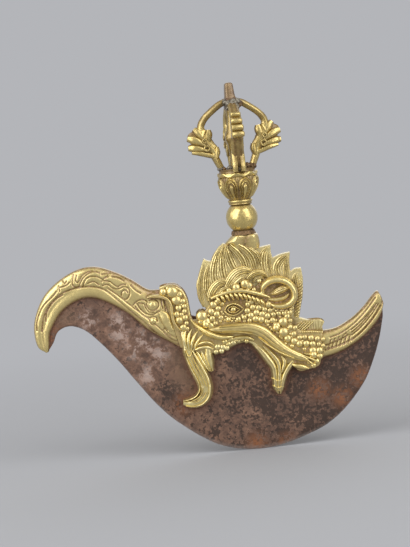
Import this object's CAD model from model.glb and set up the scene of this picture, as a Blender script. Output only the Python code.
# %% [markdown]
# # A kartika chopper, dressed for the photograph
#
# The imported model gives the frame: an iron blade, brass castings and a half vajra handle, each
# piece where it belongs. This lesson adds the chased relief, the finishes and the light.
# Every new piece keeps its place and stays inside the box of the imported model, to a tenth of a
# millimetre.

import math

import bmesh
import bpy
import numpy as np
from mathutils import Matrix, Vector, noise


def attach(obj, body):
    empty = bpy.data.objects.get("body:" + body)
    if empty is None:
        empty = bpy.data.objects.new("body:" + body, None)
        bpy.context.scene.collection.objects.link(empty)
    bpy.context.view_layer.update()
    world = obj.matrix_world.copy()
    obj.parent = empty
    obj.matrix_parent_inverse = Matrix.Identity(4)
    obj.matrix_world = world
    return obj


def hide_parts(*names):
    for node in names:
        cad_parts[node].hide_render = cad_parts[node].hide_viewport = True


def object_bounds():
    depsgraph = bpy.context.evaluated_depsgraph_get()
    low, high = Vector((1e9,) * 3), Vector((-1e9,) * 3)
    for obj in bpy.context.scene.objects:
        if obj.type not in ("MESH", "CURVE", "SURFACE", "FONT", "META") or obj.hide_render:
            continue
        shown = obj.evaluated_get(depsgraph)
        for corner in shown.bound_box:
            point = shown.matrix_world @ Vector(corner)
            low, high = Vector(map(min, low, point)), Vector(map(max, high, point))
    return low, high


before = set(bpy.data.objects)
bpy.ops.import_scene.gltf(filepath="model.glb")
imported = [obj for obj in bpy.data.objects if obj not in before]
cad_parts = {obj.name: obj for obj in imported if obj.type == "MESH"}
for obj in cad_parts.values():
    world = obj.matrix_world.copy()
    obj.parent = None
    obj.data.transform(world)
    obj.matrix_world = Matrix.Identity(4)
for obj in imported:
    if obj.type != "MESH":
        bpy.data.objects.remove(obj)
cad_low, cad_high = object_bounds()
print("packed model, metres:", [round(high - low, 4) for low, high in zip(cad_low, cad_high)])

# %% [markdown]
# ## Reading places off the photograph
#
# The flat work was drawn on the photograph, where half a millimetre is one pixel and the middle
# of the grip ball is the origin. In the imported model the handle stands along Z, so the drawing
# leans by 5.8 degrees. Two helpers turn a place in the drawing into a place in the model.

# %% The drawing's scale and lean
MM = 0.001
PIXEL_MM = 0.5
BALL_PIXEL = (243.5, 217.0)
LEAN = math.radians(5.8)
# The drawing of the blade and the head sits a little to the right of the handle's axis
DRAWING_SHIFT_MM = 0.9


def seen(points):
    """Photo pixels to millimetres in the drawing; any further columns stay as they are."""
    points = np.array(points, float)
    points[:, 0] = (points[:, 0] - BALL_PIXEL[0]) * PIXEL_MM
    points[:, 1] = (BALL_PIXEL[1] - points[:, 1]) * PIXEL_MM
    return points


def placed(u, v, d):
    """Drawing millimetres (right, up, towards the viewer) to metres in the model."""
    x, z = (np.asarray(u) + DRAWING_SHIFT_MM) * MM, np.asarray(v) * MM
    y = -np.asarray(d) * MM * np.ones_like(x)
    sine, cosine = math.sin(LEAN), math.cos(LEAN)
    return np.stack([x * cosine + z * sine, y, z * cosine - x * sine], -1)


# %% [markdown]
# ## Camera
#
# The photograph looks straight at the blade from about a metre, a little from above, so the tops
# of the collar and of the lotus just show. A long lens keeps the crescent free of distortion.

# %% Camera
PHOTO_WIDE, PHOTO_HIGH = 410, 547
VIEW_DISTANCE = 0.95
VIEW_ABOVE = math.radians(6.0)
SENSOR_MM = 36.0
CLIP_START = 0.01
look_at = Vector(placed(*seen([[PHOTO_WIDE / 2, PHOTO_HIGH / 2]])[0], 0.0))
drawing_up = Vector((math.sin(LEAN), 0, math.cos(LEAN)))
to_camera = (drawing_up * math.sin(VIEW_ABOVE) - Vector((0, 1, 0)) * math.cos(VIEW_ABOVE)).normalized()


def add_object(name, data):
    made = bpy.data.objects.new(name, data)
    bpy.context.scene.collection.objects.link(made)
    return made


camera_data = bpy.data.cameras.new("camera")
camera_data.sensor_width = SENSOR_MM
camera_data.lens = SENSOR_MM * VIEW_DISTANCE / (PHOTO_HIGH * PIXEL_MM * MM)
camera_data.clip_start = CLIP_START
camera = add_object("camera", camera_data)
bpy.context.scene.camera = camera
side = (-to_camera).cross(drawing_up).normalized()
above = side.cross(-to_camera)
camera.matrix_world = Matrix.Translation(look_at + to_camera * VIEW_DISTANCE) @ Matrix(
    (side, above, to_camera)).transposed().to_4x4()
print("lens, mm:", round(camera_data.lens, 1))

# %% [markdown]
# ## Light and floor
#
# Brass only looks like brass when it has something to reflect. Three soft lamps give long quiet
# highlights, and a room that is darker below fills the shadows. The camera and the reflections
# see a plain grey ground instead of that room, so the background is a colour and not more light.
# Every material and the world are node trees, so a few helpers to build them come first.

# %% Small helpers for node trees
# Values on the vertices that the finishes read: how deep a place lies, and the sharpened edge
HOLLOW, CUTTING = "hollow", "cutting"


def feed(tree, socket, value):
    """Link a node's output to a socket, or set the socket to a plain value."""
    if isinstance(value, bpy.types.NodeSocket):
        tree.links.new(value, socket)
    else:
        socket.default_value = value


def new_node(tree, kind, inputs=None, **settings):
    """A node with its settings; inputs maps a socket's name or number to an output or a value."""
    node = tree.nodes.new(kind)
    for key, value in settings.items():
        setattr(node, key, value)
    for key, value in (inputs or {}).items():
        feed(tree, node.inputs[key], value)
    return node

# %% Textures, ramps and sums
def object_place(tree):
    return new_node(tree, "ShaderNodeTexCoord").outputs["Object"]


def attribute_node(tree, name):
    return new_node(tree, "ShaderNodeAttribute", attribute_name=name).outputs["Fac"]


def noise_node(tree, place, scale, detail=4.0, rough=0.55, warp=0.0):
    sockets = {"Vector": place, "Scale": scale, "Detail": detail, "Roughness": rough, "Distortion": warp}
    return new_node(tree, "ShaderNodeTexNoise", sockets).outputs["Fac"]


def range_node(tree, source, low, high, kind="SMOOTHSTEP"):
    """From 0 at low to 1 at high."""
    sockets = {"Value": source, "From Min": low, "From Max": high}
    return new_node(tree, "ShaderNodeMapRange", sockets, interpolation_type=kind).outputs["Result"]


def ramp_node(tree, source, stops):
    """Colour ramp from (position, value or colour) stops."""
    node = new_node(tree, "ShaderNodeValToRGB", {0: source})
    elements = node.color_ramp.elements
    while len(elements) < len(stops):
        elements.new(0.5)
    for element, (position, value) in zip(elements, stops):
        element.position = position
        element.color = value if isinstance(value, tuple) else (value, value, value, 1.0)
    return node.outputs[0]


def mix_node(tree, amount, first, second, blend="MIX"):
    sockets = {0: amount, 6: first, 7: second}
    return new_node(tree, "ShaderNodeMix", sockets, data_type="RGBA", blend_type=blend).outputs[2]


def math_node(tree, operation, *values, clamp=False):
    sockets = dict(enumerate(values))
    return new_node(tree, "ShaderNodeMath", sockets, operation=operation, use_clamp=clamp).outputs[0]


def times(tree, first, second, clamp=False):
    return math_node(tree, "MULTIPLY", first, second, clamp=clamp)


def plus(tree, first, second, clamp=False):
    return math_node(tree, "ADD", first, second, clamp=clamp)

# %% A material and the sockets that every finish feeds
def new_material(name):
    """A node material, its tree and its shader."""
    made = bpy.data.materials.new(name)
    made.use_nodes = True
    return made, made.node_tree, made.node_tree.nodes["Principled BSDF"]


def dress_shader(tree, shader, colour, rough, metal, height, strength, depth_mm):
    """Give a shader its colour, roughness and metal, and a bump that follows a height."""
    sockets = {"Height": height, "Strength": strength, "Distance": depth_mm * MM}
    bump = new_node(tree, "ShaderNodeBump", sockets)
    for key, value in (("Base Color", colour), ("Roughness", rough), ("Metallic", metal),
                       ("Normal", bump.outputs["Normal"])):
        feed(tree, shader.inputs[key], value)

# %% Floor and background
GROUND_COLOUR = (0.455, 0.462, 0.486, 1.0)
GROUND_PAPER = (0.345, 0.352, 0.374, 1.0)
# Distance in metres over which the paper turns into the plain background
GROUND_FADE = (0.14, 0.5)
# Half of the floor's width, and how far it lies below the cutting edge, in metres
FLOOR_HALF, FLOOR_GAP = 3.0, 0.0002


def ground_material():
    """Paper under the object; further out it turns into the plain colour of the background."""
    made, tree, shader = new_material("pale_ground")
    for key, value in (("Base Color", GROUND_PAPER), ("Roughness", 0.9), ("Specular IOR Level", 0.2)):
        shader.inputs[key].default_value = value
    plain = new_node(tree, "ShaderNodeEmission", {"Color": GROUND_COLOUR})
    length = new_node(tree, "ShaderNodeVectorMath", {0: object_place(tree)}, operation="LENGTH")
    fade = range_node(tree, length.outputs["Value"], *GROUND_FADE)
    mix = new_node(tree, "ShaderNodeMixShader", {0: fade, 1: shader.outputs[0], 2: plain.outputs[0]})
    tree.links.new(mix.outputs[0], tree.nodes["Material Output"].inputs["Surface"])
    return made


def add_floor():
    bm = bmesh.new()
    bmesh.ops.create_grid(bm, x_segments=2, y_segments=2, size=FLOOR_HALF)
    bmesh.ops.translate(bm, verts=bm.verts, vec=(0, 0, cad_low.z - FLOOR_GAP))
    mesh = bpy.data.meshes.new("floor")
    bm.to_mesh(mesh)
    bm.free()
    mesh.materials.append(ground_material())
    floor = add_object("floor", mesh)


add_floor()

# %% World: a soft room for the light, plain grey for the eye and for reflections
ROOM_STRENGTH = 0.6
# Colour of the room from below to above
ROOM_LEVELS = [(0.18, (0.16, 0.16, 0.17, 1)), (0.85, (1.0, 0.99, 0.97, 1))]


def build_world():
    world = bpy.data.worlds.new("room")
    bpy.context.scene.world = world
    world.use_nodes = True
    tree = world.node_tree
    tree.nodes.clear()
    place = new_node(tree, "ShaderNodeTexCoord").outputs["Generated"]
    split = new_node(tree, "ShaderNodeSeparateXYZ", {0: place})
    upward = math_node(tree, "MULTIPLY_ADD", split.outputs["Z"], 0.5, 0.5)
    walls = ramp_node(tree, upward, ROOM_LEVELS)
    room = new_node(tree, "ShaderNodeBackground", {"Color": walls, "Strength": ROOM_STRENGTH})
    ground = new_node(tree, "ShaderNodeBackground", {"Color": GROUND_COLOUR})
    rays = new_node(tree, "ShaderNodeLightPath").outputs
    plain_rays = rays["Is Camera Ray"]
    for other in ("Is Glossy Ray", "Is Transmission Ray"):
        plain_rays = math_node(tree, "MAXIMUM", plain_rays, rays[other])
    mix = new_node(tree, "ShaderNodeMixShader", {0: plain_rays, 1: room.outputs[0], 2: ground.outputs[0]})
    new_node(tree, "ShaderNodeOutputWorld", {0: mix.outputs[0]})


build_world()
bpy.context.scene.view_settings.view_transform = "Standard"

# %% Three soft lamps
LAMPS = {
    # name: place in metres, width and height in metres, power in watts, colour
    "left_softbox": ((-0.80, -0.52, 0.50), (0.95, 1.5), 12.0, (1.0, 0.99, 0.97)),
    "right_softbox": ((0.72, -0.64, 0.48), (0.65, 1.5), 9.0, (1.0, 0.99, 0.97)),
    "back_softbox": ((0.25, 0.95, 0.45), (0.9, 0.9), 2.0, (1.0, 0.99, 0.98)),
}


def add_lamp(name, place, size, power, colour):
    data = bpy.data.lights.new(name, "AREA")
    data.shape = "RECTANGLE"
    data.size, data.size_y = size
    data.energy = power
    data.color = colour
    lamp = add_object(name, data)
    lamp.location = place
    lamp.rotation_mode = "QUATERNION"
    lamp.rotation_quaternion = (look_at - Vector(place)).to_track_quat("-Z", "Y")


for lamp_name, values in LAMPS.items():
    add_lamp(lamp_name, *values)
print("lamps:", ", ".join(LAMPS))

# %% [markdown]
# ## Finishes
#
# The castings are brass that has been handled for a long time: high places are rubbed bright,
# hollows keep a brown film and a little pink copper dust. The chasing below writes how deep a
# place lies into an attribute called hollow, so the finish follows the metal and not the light.
# One node group makes that ageing, and each brass takes it with its own colours.

# %% Node group: how old brass ages
AGE_INPUTS = {"Bright": (0.80, 0.60, 0.22, 1), "Film": (0.30, 0.20, 0.06, 1),
              "Dust": (0.45, 0.25, 0.19, 1), "Tarnish": 0.4, "Residue": 0.4, "Satin": 0.34}
AGE_OUTPUTS = {"Color": "NodeSocketColor", "Rough": "NodeSocketFloat", "Metal": "NodeSocketFloat",
               "Height": "NodeSocketFloat"}
# How much a full hollow adds to the film, and what film and dust take from the metal
HOLLOW_FILM = 0.95
FILM_DULLS, DUST_DULLS = 0.35, 0.8


def build_brass_age():
    group = bpy.data.node_groups.new("brass_age", "ShaderNodeTree")
    for name, value in AGE_INPUTS.items():
        kind = "NodeSocketColor" if isinstance(value, tuple) else "NodeSocketFloat"
        group.interface.new_socket(name, in_out="INPUT", socket_type=kind).default_value = value
    for name, kind in AGE_OUTPUTS.items():
        group.interface.new_socket(name, in_out="OUTPUT", socket_type=kind)
    given = new_node(group, "NodeGroupInput").outputs
    place, hollow = object_place(group), attribute_node(group, HOLLOW)
    clouds = noise_node(group, place, scale=140.0, detail=5.0, rough=0.6, warp=0.3)
    specks = noise_node(group, place, scale=900.0, detail=3.0, rough=0.6)
    grain = noise_node(group, place, scale=2600.0, detail=2.0, rough=0.5)
    dents = noise_node(group, place, scale=420.0, detail=2.0, rough=0.5)
    film = times(group, ramp_node(group, clouds, [(0.42, 0.0), (0.72, 1.0)]), given["Tarnish"])
    film = plus(group, film, times(group, hollow, HOLLOW_FILM), clamp=True)
    dust = times(group, ramp_node(group, specks, [(0.48, 0.0), (0.62, 1.0)]), hollow)
    dust = times(group, dust, given["Residue"], clamp=True)
    tint = ramp_node(group, specks, [(0.3, 0.86), (0.7, 1.0)])
    bright = mix_node(group, 1.0, given["Bright"], tint, "MULTIPLY")
    colour = mix_node(group, film, bright, given["Film"])
    colour = mix_node(group, dust, colour, given["Dust"])
    rough = math_node(group, "MULTIPLY_ADD", film, 0.2, given["Satin"])
    rough = plus(group, rough, times(group, dust, 0.3), clamp=True)
    rough = plus(group, rough, math_node(group, "MULTIPLY_ADD", grain, 0.16, -0.08), clamp=True)
    metal = math_node(group, "MULTIPLY_ADD", film, -FILM_DULLS, 0.94)
    metal = math_node(group, "SUBTRACT", metal, times(group, dust, DUST_DULLS), clamp=True)
    height = plus(group, times(group, dents, 0.7), times(group, grain, 0.18))
    new_node(group, "NodeGroupOutput", {"Color": colour, "Rough": rough, "Metal": metal, "Height": height})
    return group


brass_age = build_brass_age()

# %% [markdown]
# The crest's brass is the palest, the chased castings are a full yellow, the lips are a shade
# greener and the handle is browned by the hand; the spike is a worn bronze. One material could
# do for all of them, but a finish for each is easier to set beside the photograph.

# %% Brass in four states, and the browner metal of the spike
# A thin old wax over the brass gives the white part of its highlights
WAX_WEIGHT, WAX_ROUGHNESS = 0.65, 0.2
BRASS_BUMP = 0.6


def brass_material(name, bright, film, dust, tarnish, residue, satin, bump_mm):
    made, tree, shader = new_material(name)
    shader.inputs["Coat Weight"].default_value = WAX_WEIGHT
    shader.inputs["Coat Roughness"].default_value = WAX_ROUGHNESS
    own = {"Bright": bright, "Film": film, "Dust": dust, "Tarnish": tarnish, "Residue": residue,
           "Satin": satin}
    age = new_node(tree, "ShaderNodeGroup", node_tree=brass_age)
    for key, value in own.items():
        age.inputs[key].default_value = value
    dress_shader(tree, shader, age.outputs["Color"], age.outputs["Rough"], age.outputs["Metal"],
                 age.outputs["Height"], BRASS_BUMP, bump_mm)
    return made


chased_brass = brass_material(
    "chased_brass", bright=(0.87, 0.70, 0.29, 1), film=(0.225, 0.14, 0.032, 1),
    dust=(0.55, 0.33, 0.24, 1), tarnish=0.25, residue=0.55, satin=0.34, bump_mm=0.34)
pale_brass = brass_material(
    "pale_brass", bright=(0.91, 0.77, 0.36, 1), film=(0.28, 0.19, 0.05, 1),
    dust=(0.58, 0.38, 0.28, 1), tarnish=0.12, residue=0.45, satin=0.34, bump_mm=0.32)
olive_brass = brass_material(
    "olive_brass", bright=(0.86, 0.69, 0.27, 1), film=(0.21, 0.13, 0.028, 1),
    dust=(0.48, 0.28, 0.18, 1), tarnish=0.22, residue=0.3, satin=0.32, bump_mm=0.3)
handled_brass = brass_material(
    "handled_brass", bright=(0.77, 0.60, 0.215, 1), film=(0.20, 0.122, 0.028, 1),
    dust=(0.36, 0.19, 0.10, 1), tarnish=0.5, residue=0.25, satin=0.28, bump_mm=0.42)
worn_bronze = brass_material(
    "worn_bronze", bright=(0.40, 0.28, 0.14, 1), film=(0.13, 0.07, 0.035, 1),
    dust=(0.24, 0.12, 0.08, 1), tarnish=0.8, residue=0.5, satin=0.42, bump_mm=0.3)
print("brass finishes:", chased_brass.name, pale_brass.name, olive_brass.name, handled_brass.name,
      worn_bronze.name)

# %% [markdown]
# The blade is forged iron that has rusted and been rubbed down many times. It is matt brown
# with blackish pits, more of them towards the tail, pale worn patches near the hook and a few
# spots of fresh orange rust. The patches have a place, so they are masks round points of the
# blade, broken up by noise. The cutting edge keeps a thin lighter line from sharpening.

# %% Patches and colours of the iron
PALE_PATCHES = seen([
    [140, 340], [118, 322], [150, 345], [120, 334], [160, 355], [88, 321], [135, 350], [148, 376]])
ORANGE_PATCHES = seen([
    [362, 378], [320, 390], [344, 398], [258, 445], [53, 336], [53, 344], [288, 446], [184, 405]])
DARK_PATCHES = seen([[172, 395], [353, 394], [300, 372], [262, 400], [240, 360], [320, 360], [340, 372]])
STAIN_PATCHES = seen([[182, 360], [184, 374], [60, 318]])
RUST_BROWNS = [(0.3, (0.124, 0.073, 0.053, 1)), (0.52, (0.174, 0.100, 0.070, 1)),
               (0.72, (0.235, 0.137, 0.094, 1))]
MOTTLE_TINTS = [(0.36, (0.42, 0.42, 0.44, 1)), (0.62, (1.62, 1.54, 1.44, 1))]
PIT_BLACK, WORN_PALE = (0.034, 0.022, 0.017, 1), (0.44, 0.335, 0.29, 1)
STAIN_BROWN, FRESH_ORANGE = (0.185, 0.112, 0.072, 1), (0.33, 0.125, 0.05, 1)
SEAM_BROWN, SHARPENED_GREY = (0.13, 0.055, 0.03, 1), (0.30, 0.26, 0.24, 1)
# Reach in millimetres of the patches of each kind
PALE_REACH, ORANGE_REACH, DARK_REACH, STAIN_REACH = 8.5, 9.0, 14.0, 12.0
# The pits thicken between these two places along X, in metres
PITS_FROM_X, PITS_TO_X = -0.06, 0.03

# %% Rusted iron
def near_points(tree, place, points, reach_mm):
    """One soft mask round several places of the blade, 1 at each place and 0 past the reach."""
    total = None
    for u, v in points:
        ends = {0: place, 1: placed(u, v, 0.0)}
        gap = new_node(tree, "ShaderNodeVectorMath", ends, operation="DISTANCE")
        mask = range_node(tree, gap.outputs["Value"], reach_mm * MM, 0.0)
        total = mask if total is None else math_node(tree, "MAXIMUM", total, mask)
    return total


def rusted_iron():
    made, tree, shader = new_material("rusted_iron")
    shader.inputs["Specular IOR Level"].default_value = 0.35
    place = object_place(tree)
    cutting, beside = attribute_node(tree, CUTTING), attribute_node(tree, HOLLOW)
    clouds = noise_node(tree, place, scale=85.0, detail=6.0, rough=0.62, warp=0.4)
    mottle = noise_node(tree, place, scale=225.0, detail=6.0, rough=0.7, warp=0.25)
    pits = noise_node(tree, place, scale=620.0, detail=4.0, rough=0.65)
    grain = noise_node(tree, place, scale=1900.0, detail=3.0, rough=0.6)
    colour = ramp_node(tree, clouds, RUST_BROWNS)
    colour = mix_node(tree, 0.8, colour, ramp_node(tree, mottle, MOTTLE_TINTS), "MULTIPLY")
    # Blackish brown pits, thicker towards the tail and round the dark patches
    along = new_node(tree, "ShaderNodeSeparateXYZ", {0: place}).outputs["X"]
    tailward = times(tree, range_node(tree, along, PITS_FROM_X, PITS_TO_X, "LINEAR"), 0.8)
    lean_to_dark = math_node(tree, "MAXIMUM", tailward, near_points(tree, place, DARK_PATCHES, DARK_REACH))
    level = math_node(tree, "MULTIPLY_ADD", lean_to_dark, 0.11, times(tree, pits, 0.45))
    level = plus(tree, level, times(tree, mottle, 0.55))
    dark = ramp_node(tree, level, [(0.53, 0.0), (0.59, 0.9)])
    colour = mix_node(tree, dark, colour, PIT_BLACK)
    # Pale worn patches near the hook
    pale = times(tree, near_points(tree, place, PALE_PATCHES, PALE_REACH),
                 ramp_node(tree, mottle, [(0.48, 0.0), (0.56, 1.0)]))
    colour = mix_node(tree, times(tree, pale, 0.86), colour, WORN_PALE)
    # Smooth brown stains beside the brass
    smoothed = times(tree, near_points(tree, place, STAIN_PATCHES, STAIN_REACH), 0.75)
    colour = mix_node(tree, smoothed, colour, STAIN_BROWN)
    # Fresh orange rust
    fresh = times(tree, near_points(tree, place, ORANGE_PATCHES, ORANGE_REACH),
                  ramp_node(tree, pits, [(0.42, 0.0), (0.56, 1.0)]))
    colour = mix_node(tree, times(tree, fresh, 0.72), colour, FRESH_ORANGE)
    # A brown seam where the iron meets the brass
    stain = times(tree, ramp_node(tree, beside, [(0.25, 0.0), (0.8, 0.75)]),
                  ramp_node(tree, pits, [(0.35, 0.4), (0.6, 1.0)]))
    colour = mix_node(tree, stain, colour, SEAM_BROWN)
    # The sharpened edge
    edge = times(tree, cutting, ramp_node(tree, mottle, [(0.3, 0.35), (0.6, 1.0)]))
    colour = mix_node(tree, times(tree, edge, 0.55), colour, SHARPENED_GREY)
    height = plus(tree, times(tree, mottle, 0.8), times(tree, grain, 0.25))
    height = math_node(tree, "SUBTRACT", height, times(tree, dark, 0.5))
    rough = math_node(tree, "MULTIPLY_ADD", mottle, 0.25, 0.5)
    dress_shader(tree, shader, colour, rough, times(tree, edge, 0.5), height, 0.75, 0.35)
    return made

# %% [markdown]
# Solder holds the prongs, the spike and the ball. It is soft and matt, and its low places are
# dark. Colour and bump therefore follow the same noise, so that the dark lies in the pores.

# %% Solder, dull with darker pores: grey where it is clean, brown where the flux burnt
def solder_metal(name, low, high, metallic):
    made, tree, shader = new_material(name)
    place = object_place(tree)
    melt = noise_node(tree, place, scale=700.0, detail=4.0, rough=0.6)
    pores = noise_node(tree, place, scale=2400.0, detail=2.0, rough=0.5)
    colour = ramp_node(tree, melt, [(0.36, low), (0.6, high)])
    rough = math_node(tree, "MULTIPLY_ADD", pores, 0.3, 0.4)
    height = math_node(tree, "MULTIPLY_ADD", pores, 0.3, melt)
    dress_shader(tree, shader, colour, rough, metallic, height, 0.8, 0.4)
    return made


iron_finish = rusted_iron()
solder_finish = solder_metal("grey_solder", (0.10, 0.08, 0.055, 1), (0.33, 0.30, 0.24, 1), 0.85)
burnt_solder = solder_metal("burnt_solder", (0.05, 0.03, 0.014, 1), (0.25, 0.155, 0.075, 1), 0.6)

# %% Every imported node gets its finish, and its mesh stays as it is
NODE_FINISHES = (
    (iron_finish, "blade core_rod tang_pin"),
    (solder_finish, "seat_solder crown_solder"),
    (burnt_solder, "neck_solder"),
    (pale_brass, "flame_crest"),
    (chased_brass, "hook_sleeve tail_sleeve makara_front makara_back"),
    (chased_brass, "sleeve_rivets cheek_rivets neck_collar"),
    (handled_brass, "grip_ball waist_ring lotus_cup vajra_seat"),
    (handled_brass, "prong_left prong_right prong_front prong_back"),
    (worn_bronze, "centre_spike"),
)
dressed = 0
for finish, names in NODE_FINISHES:
    for name in names.split():
        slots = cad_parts[name].data.materials
        slots.clear()
        slots.append(finish)
        dressed += 1
print("nodes with a finish:", dressed, "of", len(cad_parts))

# %% [markdown]
# ## Tools for chased relief
#
# Everything on the brass was drawn by hand, so each form starts from a few points on the
# photograph. A smooth curve goes through them, even stations are set along it, and a plain grid
# is laid over the stations. Moving the grid's vertices gives the section, and short cuts made
# with a chisel are kept as strokes: a vertex sinks when a stroke passes close to it.

# %% Curves through hand-placed points
def smooth(points, per=12):
    """A curve through the given rows; every column, such as a width, is blended alike."""
    p = np.asarray(points, float)
    p = np.vstack([2 * p[0] - p[1], p, 2 * p[-1] - p[-2]])
    t = np.linspace(0, 1, per, endpoint=False)[:, None]
    runs = []
    for a, b, c, d in zip(p, p[1:], p[2:], p[3:]):
        runs.append(0.5 * (2 * b + (c - a) * t + (2 * a - 5 * b + 4 * c - d) * t**2
                           + (3 * b - a - 3 * c + d) * t**3))
    return np.vstack(runs + [p[-2:-1]])


def evenly(path, count, columns=2):
    """The same curve with stations at even distances, measured over the first columns."""
    steps = np.linalg.norm(np.diff(path[:, :columns], axis=0), axis=1)
    run = np.concatenate([[0.0], np.cumsum(steps)])
    at = np.linspace(0.0, run[-1], count)
    return np.stack([np.interp(at, run, column) for column in path.T], 1)


def near(places, strokes):
    """Distance in millimetres from each place to the closest stroke."""
    closest = np.full(len(places), np.inf)
    for stroke in strokes:
        line = smooth(stroke, 6)
        for a, b in zip(line[:-1, :2], line[1:, :2]):
            along = np.clip(((places - a) @ (b - a)) / max((b - a) @ (b - a), 1e-9), 0, 1)
            gap = np.linalg.norm(places - a - along[:, None] * (b - a), axis=1)
            closest = np.minimum(closest, gap)
    return closest


def soft_step(low, high, values):
    t = np.clip((np.asarray(values, float) - low) / (high - low), 0, 1)
    return t * t * (3 - 2 * t)

# %% A bmesh and the grid that is moved into shape
def new_bmesh():
    bm = bmesh.new()
    bm.verts.layers.float.new(HOLLOW)
    return bm


def grid_of(bm, columns, rows):
    """A grid whose vertices come back with their column and row, ready to be moved."""
    made = bmesh.ops.create_grid(bm, x_segments=columns, y_segments=rows, size=1.0)["verts"]
    flat = np.array([v.co[:2] for v in made])
    flat = (flat - flat.min(0)) / (flat.max(0) - flat.min(0))
    return made, np.rint(flat[:, 0] * columns).astype(int), np.rint(flat[:, 1] * rows).astype(int)


def move_to(bm, verts, u, v, d, hollow):
    layer = bm.verts.layers.float[HOLLOW]
    for vert, place, depth in zip(verts, placed(u, v, d), hollow):
        vert.co = place
        vert[layer] = depth

# %% Half a piece and its mirror image
# Points on a mirrored or wrapped seam merge below these distances
SEAM_MM, FINE_SEAM_MM = 0.001, 0.0005


def add_mirror(bm, merge_mm):
    """Mirror a half across the middle of the blade; the points on the seam merge."""
    half = bm.verts[:] + bm.edges[:] + bm.faces[:]
    bmesh.ops.mirror(bm, geom=half, matrix=Matrix.Identity(4), merge_dist=merge_mm * MM, axis="Y")


def close_with_mirror(bm, name, merge_mm):
    add_mirror(bm, merge_mm)
    bmesh.ops.remove_doubles(bm, verts=bm.verts, dist=merge_mm * MM)
    ends = bmesh.ops.holes_fill(bm, edges=bm.edges[:], sides=0)["faces"]
    print(name, "ends closed:", len(ends), "open edges:", sum(e.is_boundary for e in bm.edges))

# %% From a bmesh to a finished piece
# Points closer than this are one point
DOUBLE_MM = 0.002
# Faces that meet at more than this keep a hard edge
SHARP_DEGREES = 50.0
# Finishes whose hollows fill up at the end; their pieces are kept in a list
DUSTY_FINISHES = (chased_brass, pale_brass, olive_brass, iron_finish)
relief_pieces = []


def make_piece(bm, name, finish, replaced=()):
    """Merge, smooth and name a piece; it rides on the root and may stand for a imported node."""
    bmesh.ops.remove_doubles(bm, verts=bm.verts, dist=DOUBLE_MM * MM)
    bmesh.ops.recalc_face_normals(bm, faces=bm.faces)
    mesh = bpy.data.meshes.new(name)
    bm.to_mesh(mesh)
    bm.free()
    mesh.shade_smooth()
    mesh.set_sharp_from_angle(angle=math.radians(SHARP_DEGREES))
    mesh.materials.append(finish)
    piece = add_object(name, mesh)
    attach(piece, "root")
    if replaced:
        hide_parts(*replaced)
    if finish in DUSTY_FINISHES:
        relief_pieces.append(piece)
    mesh.calc_loop_triangles()
    print(name, "triangles:", len(mesh.loop_triangles))

# %% [markdown]
# ## Sleeves on the blade
#
# A brass channel is folded over the back of the hook and another over the tail. In section the
# back rounds over, the outer zone is a low dome with chased scrolls, then a step and a plain
# rounded border run down to the iron. One half is made as a grid between the back and the lip,
# the chisel strokes are sunk into it, and the mirror gives the far face. The back is browned
# where no finger reaches it.

# %% The hook's sleeve as drawn: back and lip, from the tip to the head, in millimetres
HOOK = np.array([
    [-99, -68.2, -97.6, -67.6], [-103.2, -65, -97.3, -64], [-105, -56.5, -97, -58.5],
    [-103.8, -48.5, -94.8, -53.2], [-99.7, -39.3, -91.4, -47.8], [-92, -31.5, -86.7, -43.7],
    [-83, -26.3, -80.5, -40.7], [-74.5, -24.8, -74, -40.5], [-65.5, -27, -66.3, -43.2],
    [-56.5, -31, -57, -48.5], [-48, -36, -47.2, -56.5], [-41.5, -36.2, -31.8, -65]])
TAIL = np.array([
    [39.6, -56.8, 39, -70.6], [46.5, -55.2, 46.5, -68.3], [54, -50.5, 54.5, -64], [60, -44.6, 61, -58.7],
    [64.3, -38.9, 66, -53], [66.8, -36.8, 69, -47.5], [68.6, -39, 70, -43]])
# Section of a sleeve: share of the way from back to lip, half depth in millimetres
SLEEVE_SECTION = np.array([
    [0.0, 0.0], [0.012, 1.3], [0.05, 2.4], [0.12, 3.3], [0.24, 3.85], [0.36, 3.95], [0.48, 3.75],
    [0.56, 3.45], [0.63, 3.42], [0.71, 3.62], [0.8, 3.75], [0.88, 3.5], [0.95, 2.8], [1.0, 1.85]])
# The slot for the iron: half its width, how far its mouth is eased, and the share where it ends
SLOT_HALF_MM, SLOT_EASE_MM, SLOT_SHARE = 1.26, 0.2, 0.5
print("rows that draw the hook and the tail:", len(HOOK), len(TAIL))

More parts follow.
